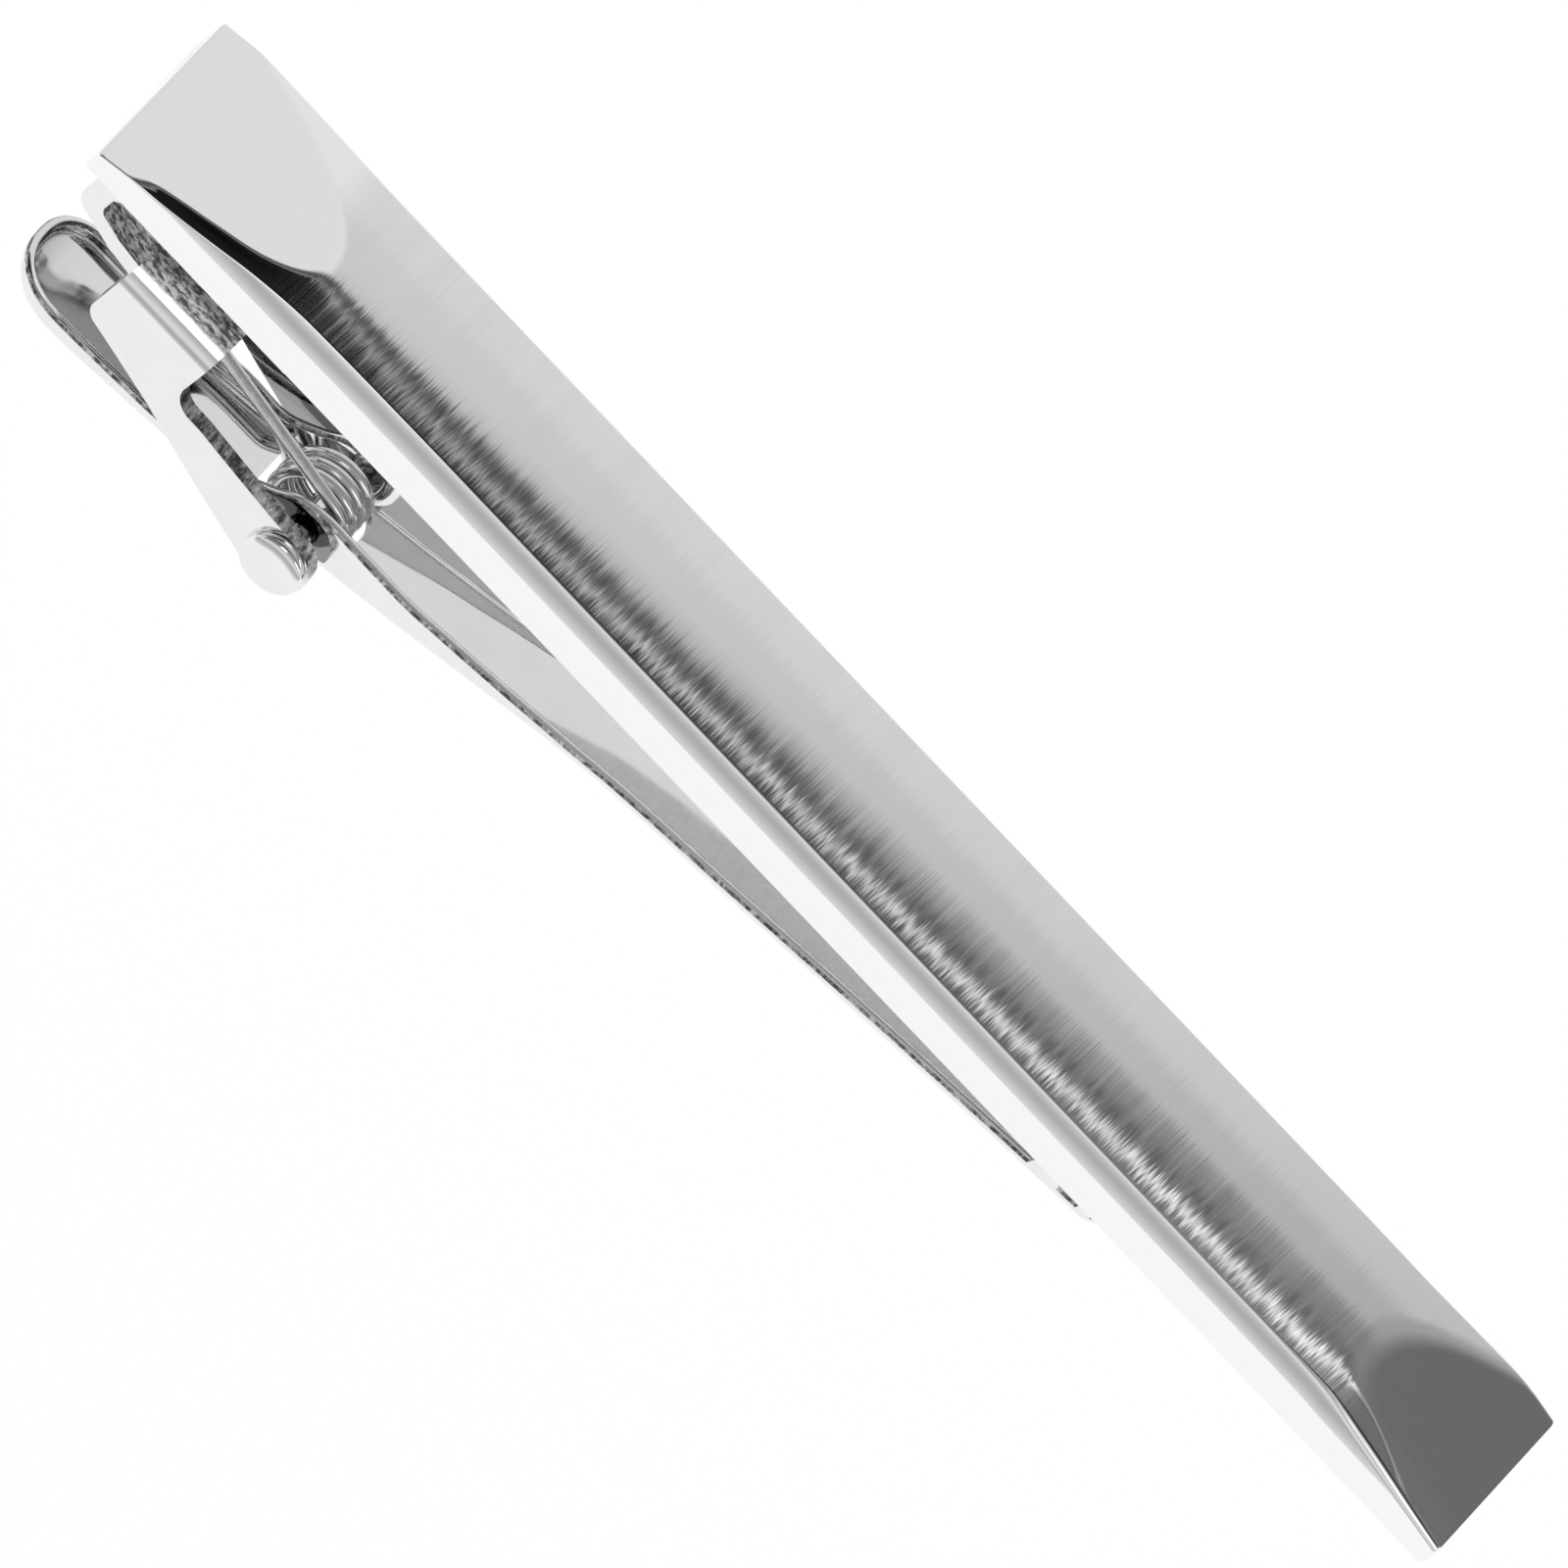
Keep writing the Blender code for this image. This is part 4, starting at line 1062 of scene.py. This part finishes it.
@dataclass
class ClaspLever:
    """The pressed lever: a spoon for the thumb, hinge cheeks, a channel arm and a toothed jaw."""

    sheet: float = 0.36 * MM
    arm_width: float = 3.5 * MM
    pad_width: float = 4.0 * MM
    pad_start: float = 1.0 * MM
    pad_run: float = 2.4 * MM
    arm_end: float = 46.2 * MM
    jaw_run: float = 1.3 * MM
    jaw_start: float = 42.9 * MM
    jaw_gap: float = 0.03 * MM
    notches: tuple[tuple[float, float, float], ...] = ((1.00, 1.95, 0.10), (2.35, 2.62, 0.12))
    notch_floor: float = 2.05 * MM
    lip: float = 0.17 * MM
    torn_strips: tuple[int, ...] = (1, 2, 6, 7)
    window_start: float = 11.25 * MM
    window_end: float = 14.85 * MM
    window_corner: float = 0.9 * MM
    lug_radius: float = 0.95 * MM
    corner: float = 0.50 * MM
    underside: tuple[tuple[float, float], ...] = (
        (0.9, 7.95), (2.0, 8.25), (3.5, 8.37), (5.5, 8.20), (7.2, 8.00), (9.0, 7.78), (11.0, 7.60),
        (13.35, 7.30), (14.7, 7.04), (16.2, 6.72), (18.4, 6.20), (20.7, 5.61), (23.0, 5.05),
        (25.2, 4.63), (30.0, 4.06), (36.0, 3.34), (42.0, 2.68), (44.5, 2.44), (46.3, 2.30),
    )
    rim: tuple[tuple[float, float], ...] = (
        (0.9, 7.30), (3.0, 7.42), (6.0, 7.30), (9.0, 7.02), (10.6, 6.75), (11.6, 6.10),
        (12.4, 5.42), (13.3, 5.12), (15.0, 5.10), (16.7, 5.12), (19.1, 4.88), (21.0, 4.62),
        (24.6, 4.10), (30.0, 3.58), (36.6, 2.90), (41.6, 2.36), (42.4, 2.24),
    )

    def floor_height(self, x: Array) -> Array:
        """World height of the underside at world X, from the stations along the lever."""
        return -hermite(self.underside, (x + HALF_LENGTH) / MM) * MM

    def rim_height(self, x: Array) -> Array:
        """World height of the rim at world X: the stations' curve, then the jaw's teeth.

        The jaw rises to the bar's back and is notched by a square gap and a narrow one, each a
        product of two smooth steps.
        """
        from_end = x + HALF_LENGTH
        plain = -hermite(self.rim, from_end / MM) * MM
        rise = smoothstep(self.jaw_start - 0.35 * MM, self.jaw_start + 0.45 * MM, from_end)
        jaw = plain + (-self.jaw_gap - plain) * rise
        for low, high, soft in self.notches:
            enter = smoothstep(
                self.jaw_start + (low - soft) * MM, self.jaw_start + (low + soft) * MM, from_end
            )
            leave = smoothstep(
                self.jaw_start + (high - soft) * MM, self.jaw_start + (high + soft) * MM, from_end
            )
            jaw = jaw + (-self.notch_floor - jaw) * enter * (1.0 - leave)
        return jaw

    def plan(self) -> tuple[Array, Array]:
        """Plan outline round the lever, and the point on its middle line behind each place.

        One side is a superellipse round the thumb pad, an eased waist and a rounded jaw; the
        other is its mirror image.

        Returns:
            Outline points and middle-line points, both in X and Y, clockwise from the pad end.
        """
        pad, arm = self.pad_width / 2.0, self.arm_width / 2.0
        angle = np.linspace(np.pi, np.pi / 2.0, 90)
        shape = 2.0 / 2.4
        pad_x = self.pad_start + self.pad_run * (1.0 - np.abs(np.cos(angle)) ** shape)
        pad_y = pad * np.sin(angle) ** shape
        reach = np.linspace(self.pad_start + self.pad_run, self.jaw_start - 0.6 * MM, 190)[1:]
        reach_y = pad + (arm - pad) * smoothstep(8.6 * MM, 10.8 * MM, reach)
        teeth = np.linspace(self.jaw_start - 0.6 * MM, self.arm_end - self.jaw_run, 60)[1:]
        angle = np.linspace(np.pi / 2.0, 0.0, 60)[1:]
        jaw_x = self.arm_end - self.jaw_run + self.jaw_run * np.cos(angle) ** 0.9
        jaw_y = arm * np.sin(angle) ** 0.85
        jaw_y[-1] = 0.0
        x = np.concatenate((pad_x, reach, teeth, jaw_x))
        y = np.concatenate((pad_y, reach_y, np.full(len(teeth), arm), jaw_y))
        y[0] = 0.0
        middle = np.clip(x, self.pad_start + self.pad_run, self.arm_end - self.jaw_run)
        x = np.concatenate((x, x[::-1][1:-1])) - HALF_LENGTH
        y = np.concatenate((y, -y[::-1][1:-1]))
        middle = np.concatenate((middle, middle[::-1][1:-1])) - HALF_LENGTH
        return np.column_stack((x, y)), np.column_stack((middle, 0.0 * middle))

    def build(
        self, pin: Vector, plate: bpy.types.Material, edge_finish: bpy.types.Material
    ) -> bpy.types.Object:
        """Carries the sheet's rolled section round the plan, then cuts window and pin hole.

        From each outline point the section runs in towards the middle line. The outer skin goes
        from the middle of the floor out to the wall round a corner of the given radius and up to
        the rim; the inner skin comes back one sheet thickness inside it.

        Args:
            pin: Centre of the hinge.
            plate: Finish of the sheet's faces.
            edge_finish: Finish of the rim's torn lines and of the window's cut.

        Returns:
            The lever as one closed body.
        """
        outline, middle = self.plan()
        ray = middle - outline
        length = np.linalg.norm(ray, axis=1)
        ray = ray / length[:, None]
        corner, sheet = self.corner, self.sheet
        inside = corner - sheet
        quarter = np.linspace(0.0, np.pi / 2.0, 10)
        spread = np.linspace(1.0, 0.0, 12)[:-1] ** 1.3
        # Each section point is an inset along the ray and a height over the floor or the rim.
        floor_out = corner + (length[:, None] - corner) * spread
        turn_out = corner * (1.0 - np.sin(quarter))
        lift_out = corner * (1.0 - np.cos(quarter))
        turn_in = sheet + inside * (1.0 - np.sin(quarter))[::-1]
        lift_in = (sheet + inside * (1.0 - np.cos(quarter)))[::-1]
        floor_in = corner + (length[:, None] - corner) * spread[::-1]
        rows = len(outline)
        wall = np.linspace(0.0, 1.0, 9)[1:]
        edge = self.lip
        lip = np.radians(np.linspace(0.0, 180.0, 9))
        inset = np.hstack(
            (
                floor_out,
                np.tile(turn_out, (rows, 1)),
                np.zeros((rows, len(wall))),
                np.tile(sheet / 2.0 - np.cos(lip) * sheet / 2.0, (rows, 1)),
                np.full((rows, len(wall)), sheet),
                np.tile(turn_in, (rows, 1)),
                floor_in,
            )
        )
        inset = np.minimum(inset, length[:, None])
        x = outline[:, :1] + ray[:, :1] * inset
        y = outline[:, 1:] + ray[:, 1:] * inset
        floor = self.floor_height(x)
        lug = pin.z - np.sqrt(np.clip(self.lug_radius**2 - (x - pin.x) ** 2, 0.0, None))
        floor = np.where(np.abs(x - pin.x) < self.lug_radius, np.minimum(floor, lug), floor)
        rim = np.repeat(self.rim_height(outline[:, 0])[:, None], x.shape[1], 1)
        rim = np.maximum(rim, floor + corner + edge)
        lift = np.hstack(
            (
                np.zeros((rows, len(spread))),
                np.tile(lift_out, (rows, 1)),
                np.full((rows, 2 * len(wall) + len(lip)), np.nan),
                np.tile(lift_in, (rows, 1)),
                np.full((rows, len(spread)), sheet),
            )
        )
        z = floor + lift
        up = len(spread) + len(quarter)
        over = up + len(wall)
        down = over + len(lip)
        for start, share in ((up, wall), (down, wall[::-1])):
            columns = slice(start, start + len(wall))
            low = floor[:, columns] + corner
            z[:, columns] = low + (rim[:, columns] - edge - low) * share
        z[:, over:down] = rim[:, over:down] - edge + edge * np.sin(lip)
        points = np.stack((x, y, z), axis=-1)
        lever = new_mesh("lever", points, grid_faces(rows, x.shape[1], True, False).tolist())
        lever.data.materials.append(plate)
        lever.data.materials.append(edge_finish)
        strip = np.arange(x.shape[1] - 1)
        torn = np.isin(strip, over - 1 + np.array(self.torn_strips)).astype(np.int32)
        lever.data.polygons.foreach_set("material_index", np.tile(torn, rows))
        tidy(lever, merge=3e-7, sharp=60.0)
        self.cut_window(lever, pin, edge_finish)
        return tidy(lever, merge=3e-7, sharp=40.0)

    def cut_window(
        self, lever: bpy.types.Object, pin: Vector, edge_finish: bpy.types.Material
    ) -> None:
        """Cuts the floor's window, rounded towards the arm, and the pin's hole."""
        half = self.arm_width / 2.0 - self.sheet
        low, high = self.window_start - HALF_LENGTH, self.window_end - HALF_LENGTH
        corner = self.window_corner
        window = np.vstack(
            (
                [(low, -half)],
                arc((high - corner, -half + corner), corner, -90.0, 0.0, 14),
                arc((high - corner, half - corner), corner, 0.0, 90.0, 14),
                [(low, half)],
            )
        )
        bore = arc((pin.x, pin.z), BORE_RADIUS, 0.0, 352.5, 48)
        cutters = (
            prism("window", window, "Z", -12.0 * MM, pin.z + 1.1 * MM),
            prism("bore", bore, "Y", -self.pad_width, self.pad_width),
        )
        for cutter in cutters:
            cutter.data.materials.append(edge_finish)
            combine(lever, cutter, "DIFFERENCE")

    def make(
        self, pin: Vector, plate: bpy.types.Material, edge_finish: bpy.types.Material
    ) -> bpy.types.Object:
        """Builds the lever."""
        lever = self.build(pin, plate, edge_finish)
        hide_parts("clasp_lever")
        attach(lever, Body.LEVER.value)
        return lever


@dataclass
class TorsionSpring:
    """The wire spring: a leg under the web, a coil round the rivet, a leg on the lever."""

    wire: float = 0.45 * MM
    coil_radius: float = 1.375 * MM
    shift: tuple[float, float] = (-0.35 * MM, 0.40 * MM)
    turns: int = 3
    pitch: float = 0.5175 * MM
    gap: float = 0.03 * MM
    web_end: float = 4.6 * MM
    floor_end: float = 6.0 * MM
    knee: tuple[float, float] = (10.6 * MM, 0.24 * MM)
    smoothing: int = 6

    def path(self, pin: Vector, lever: ClaspLever, bracket: HingeBracket) -> Array:
        """The wire's middle line.

        Two straight legs meet the coil along its tangents, and the whole line is then smoothed
        by running means, so that it bends as a wire does.

        Args:
            pin: Centre of the hinge.
            lever: The lever, whose floor carries the second leg.
            bracket: The bracket, whose web carries the first leg.

        Returns:
            Points along the wire.
        """
        radius, wire = self.coil_radius, self.wire / 2.0
        centre = np.array((pin.x + self.shift[0], pin.z + self.shift[1]))
        span = (self.turns + 0.5) * self.pitch
        web_z = -bracket.web_drop - bracket.sheet - self.gap - wire
        web = np.array((-HALF_LENGTH + self.web_end, web_z))
        floor_x = -HALF_LENGTH + self.floor_end
        floor_z = float(lever.floor_height(np.array(floor_x))) + lever.sheet + self.gap + wire
        knee = np.array((-HALF_LENGTH + self.knee[0], pin.z + self.knee[1]))
        first = self.tangent(centre, web, -1.0)
        last = self.tangent(centre, knee, 1.0)
        sweep = -(2.0 * np.pi * self.turns + (first - last) % (2.0 * np.pi))
        share = np.linspace(0.0, 1.0, 260)
        angle = first + sweep * share
        coil = np.column_stack(
            (
                centre[0] + radius * np.cos(angle),
                -span / 2.0 + span * share,
                centre[1] + radius * np.sin(angle),
            )
        )
        web_leg = np.linspace((web[0], -span / 2.0 - 0.55 * MM, web[1]), coil[0], 80)[:-1]
        knee_point = np.array((knee[0], span / 2.0, knee[1]))
        to_knee = np.linspace(coil[-1], knee_point, 16)[1:]
        floor_leg = np.linspace(knee_point, (floor_x, span / 2.0, floor_z), 60)[1:]
        line = np.vstack((web_leg, coil, to_knee, floor_leg))
        for _ in range(self.smoothing):
            line[1:-1] = (line[:-2] + 2.0 * line[1:-1] + line[2:]) / 4.0
        return line

    def tangent(self, centre: Array, outside: Array, side: float) -> float:
        """Angle on the coil where a line from an outside point touches it."""
        away = outside - centre
        reach = float(np.hypot(*away))
        return math.atan2(away[1], away[0]) + side * math.acos(self.coil_radius / reach)

    def make(self, pin: Vector, lever: ClaspLever, bracket: HingeBracket) -> bpy.types.Object:
        """Builds the spring and dresses it."""
        path = self.path(pin, lever, bracket)
        spring = tube("spring", path, self.wire / 2.0, 18)
        dress(spring, Slot.WIRE, WireFinish().make())
        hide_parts("torsion_spring")
        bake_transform(spring)
        return spring


# ---------------------------------------------------------------------------------------------
# Studio
# ---------------------------------------------------------------------------------------------


@dataclass(frozen=True)
class Tent:
    """A reflection tent: a half tube of paper round the clip that only its metal mirrors.

    It glows by a function of the angle round X, from 0 at +Y over 90 at +Z to 180 at -Y, and of
    the place along X. From the far side up it is a soft light that dims towards the free end,
    and its upper edge, a step down to grey, drifts round with X. Overhead are one narrow strip
    light and a dark flag, which both brighten towards the free end. On the near side come a
    grey band, a band that is white only over the clasp end and far past the free end, and a
    foot that brightens downwards.
    """

    radius: float = 120.0 * MM
    half_length: float = 300.0 * MM
    start: float = -34.0
    end: float = 231.0

    def build(self) -> bpy.types.Object:
        """Builds the half tube and its glowing material."""
        angle = np.radians(np.linspace(self.start, self.end, 96))
        x = np.array([-self.half_length, self.half_length])
        points = np.stack(
            (
                np.repeat(x[:, None], len(angle), 1),
                np.tile(self.radius * np.cos(angle), (2, 1)),
                np.tile(self.radius * np.sin(angle), (2, 1)),
            ),
            axis=-1,
        )
        tent = new_mesh("tent", points, grid_faces(2, len(angle), False, False).tolist())
        tent.data.materials.append(self.glow())
        tent.visible_camera = False
        tent.visible_diffuse = False
        tent.visible_shadow = False
        return tent

    def glow(self) -> bpy.types.Material:
        """The glow as a sum of soft bands, each a product of two steps over the angle."""
        nodes = Nodes("tent_glow")
        place = nodes.position()
        x, y, z = place.outputs[0], place.outputs[1], place.outputs[2]
        turn = nodes.math("ARCTAN2", z, y)
        # Angles just past 180 come out negative on the -Y side, so one turn is added there.
        behind = nodes.math("MULTIPLY", nodes.math("LESS_THAN", turn, -1.5), 2.0 * math.pi)
        angle = nodes.math("DEGREES", nodes.math("ADD", turn, behind))

        def band(rise: tuple[float, float], fall: tuple[float, float], strength: object) -> object:
            """A band that rises and falls over two ranges of the angle."""
            up = nodes.ease(angle, *rise)
            down = nodes.math("SUBTRACT", 1.0, nodes.ease(angle, *fall))
            return nodes.math("MULTIPLY", nodes.math("MULTIPLY", up, down), strength)

        drift = nodes.curve(x, ((-6, 0.0), (2, 4.0), (26, 16.5), (60, 14.0)))
        skew = nodes.math("ADD", angle, drift)
        far = nodes.curve(
            x, ((-110, 0.75), (-20, 0.78), (5, 0.74), (25, 0.62), (45, 0.42), (90, 0.15))
        )
        low = nodes.curve(x, ((-110, 0.75), (0, 0.82), (30, 0.74), (60, 0.36), (90, 0.15)))
        grey = nodes.curve(x, ((-110, 0.07), (-10, 0.10), (20, 0.20), (50, 0.26), (90, 0.16)))
        strip = nodes.curve(
            x, ((-60, 0.10), (-15, 0.12), (0, 0.40), (15, 0.85), (30, 1.4), (62, 1.5), (74, 0.16))
        )
        black = nodes.curve(
            x, ((-60, 0.01), (-5, 0.02), (15, 0.10), (32, 0.35), (62, 0.5), (74, 0.16))
        )
        white = nodes.curve(
            x, ((-50, 0.12), (-35, 1.25), (-10, 1.25), (-3, 0.3), (55, 0.3), (75, 1.6))
        )
        down = nodes.math("SUBTRACT", 1.0, nodes.ease(skew, 71.0, 79.0))
        rise = nodes.math("MULTIPLY", nodes.ease(skew, 71.0, 79.0), grey)
        parts = [
            band((-60, -50), (28, 44), low),
            nodes.math("MULTIPLY", band((28, 44), (94, 95), far), down),
            nodes.math("MULTIPLY", band((28, 44), (86, 91), 1.0), rise),
            band((82, 87), (88, 91), strip),
            band((88, 92), (96, 118), black),
            band((116, 130), (136, 140), 0.50),
            band((136, 140), (162, 166), white),
            band((156, 162), (188, 204), 0.42),
            band((160, 194), (300, 301), 0.42),
            band((200, 222), (300, 301), 0.43),
            band((219, 230), (300, 301), 0.25),
        ]
        total = parts[0]
        for part in parts[1:]:
            total = nodes.math("ADD", total, part)
        nodes.shader.inputs["Base Color"].default_value = (0.0, 0.0, 0.0, 1.0)
        nodes.shader.inputs["Roughness"].default_value = 1.0
        nodes.shader.inputs["Specular IOR Level"].default_value = 0.0
        nodes.shader.inputs["Emission Color"].default_value = (1.0, 1.0, 1.0, 1.0)
        nodes.link(total, nodes.shader.inputs["Emission Strength"])
        return nodes.material


@dataclass
class Studio:
    """Pale floor, even light and the camera."""

    tilt: float = 41.0
    turn: float = 5.0
    picture: float = 48.48 * MM
    middle: tuple[float, float] = (28.70 * MM, 2.41 * MM)
    lens: float = 1200.0
    sensor: float = 36.0
    roll: float = 46.34
    floor_drop: float = 60.0 * MM
    floor_reach: float = 3.0
    tent: Tent = field(default_factory=Tent)

    def axes(self) -> tuple[Vector, Vector, Vector]:
        """Directions that the camera sees along the bar, up across it, and towards itself."""
        tilt, turn = math.radians(self.tilt), math.radians(self.turn)
        along = Vector(
            (math.cos(turn), -math.sin(turn) * math.sin(tilt), math.sin(turn) * math.cos(tilt))
        )
        across = Vector((0.0, math.cos(tilt), math.sin(tilt)))
        return along, across, along.cross(across)

    def camera(self) -> None:
        """Sets a long lens at the viewing angle, rolled so that the bar runs corner to corner."""
        along, across, back = self.axes()
        roll = math.radians(self.roll)
        right = along * math.cos(roll) + across * math.sin(roll)
        up = across * math.cos(roll) - along * math.sin(roll)
        data = bpy.data.cameras.new("camera")
        data.lens = self.lens
        data.sensor_width = self.sensor
        data.clip_start, data.clip_end = 0.01, 20.0
        camera = bpy.data.objects.new("camera", data)
        bpy.context.scene.collection.objects.link(camera)
        distance = self.picture * self.lens / self.sensor
        # The view's middle is placed from the bar's near bottom corner at the clasp end.
        corner = Vector((-HALF_LENGTH, -FrontBar.width / 2.0, 0.0))
        target = along * (corner.dot(along) + self.middle[0])
        target += across * (corner.dot(across) + self.middle[1])
        place = target + back * distance
        turn = Matrix((right, up, back)).transposed().to_4x4()
        camera.matrix_world = Matrix.Translation(place) @ turn
        bpy.context.scene.camera = camera

    def floor(self) -> None:
        """A wide pale sheet under the clip, and a pale surround."""
        low, wide = CAD_BOX[0].z - self.floor_drop, self.floor_reach
        points = np.array(
            [(-wide, -wide, low), (wide, -wide, low), (wide, wide, low), (-wide, wide, low)]
        )
        sheet = new_mesh("floor", points, [[0, 1, 2, 3]])
        nodes = Nodes("pale_paper")
        nodes.shader.inputs["Base Color"].default_value = (0.93, 0.93, 0.93, 1.0)
        nodes.shader.inputs["Roughness"].default_value = 0.9
        nodes.shader.inputs["Emission Color"].default_value = (1.0, 1.0, 1.0, 1.0)
        nodes.shader.inputs["Emission Strength"].default_value = 0.30
        sheet.data.materials.append(nodes.material)
        world = bpy.data.worlds.new("pale_room")
        world.use_nodes = True
        background = world.node_tree.nodes["Background"]
        background.inputs["Color"].default_value = (1.0, 1.0, 1.0, 1.0)
        background.inputs["Strength"].default_value = 0.75
        bpy.context.scene.world = world

    def build(self) -> None:
        """Sets camera, floor and tent."""
        bpy.context.scene.view_settings.view_transform = "Standard"
        self.camera()
        self.floor()
        self.tent.build()


def main() -> None:
    """Builds the clip's pieces in order, then the studio."""
    logging.basicConfig(level=logging.INFO, format="%(name)s: %(message)s")
    plate = PlateFinish().make()
    bracket_plate = PlateFinish("bright_plated_bracket", grit_and_reflection_above=-2.42 * MM).make()
    edge = ShearedFinish().make()
    pin_piece = HingePin()
    pin = pin_piece.centre
    bracket = HingeBracket()
    lever = ClaspLever()
    pieces = [
        FrontBar().make(),
        bracket.make(pin, bracket_plate, edge),
        pin_piece.make(),
        lever.make(pin, plate, edge),
        TorsionSpring().make(pin, lever, bracket),
    ]
    for piece in pieces:
        LOG.info("%s: %d faces", piece.name, len(piece.data.polygons))
    Studio().build()


if __name__ == "__main__":
    main()
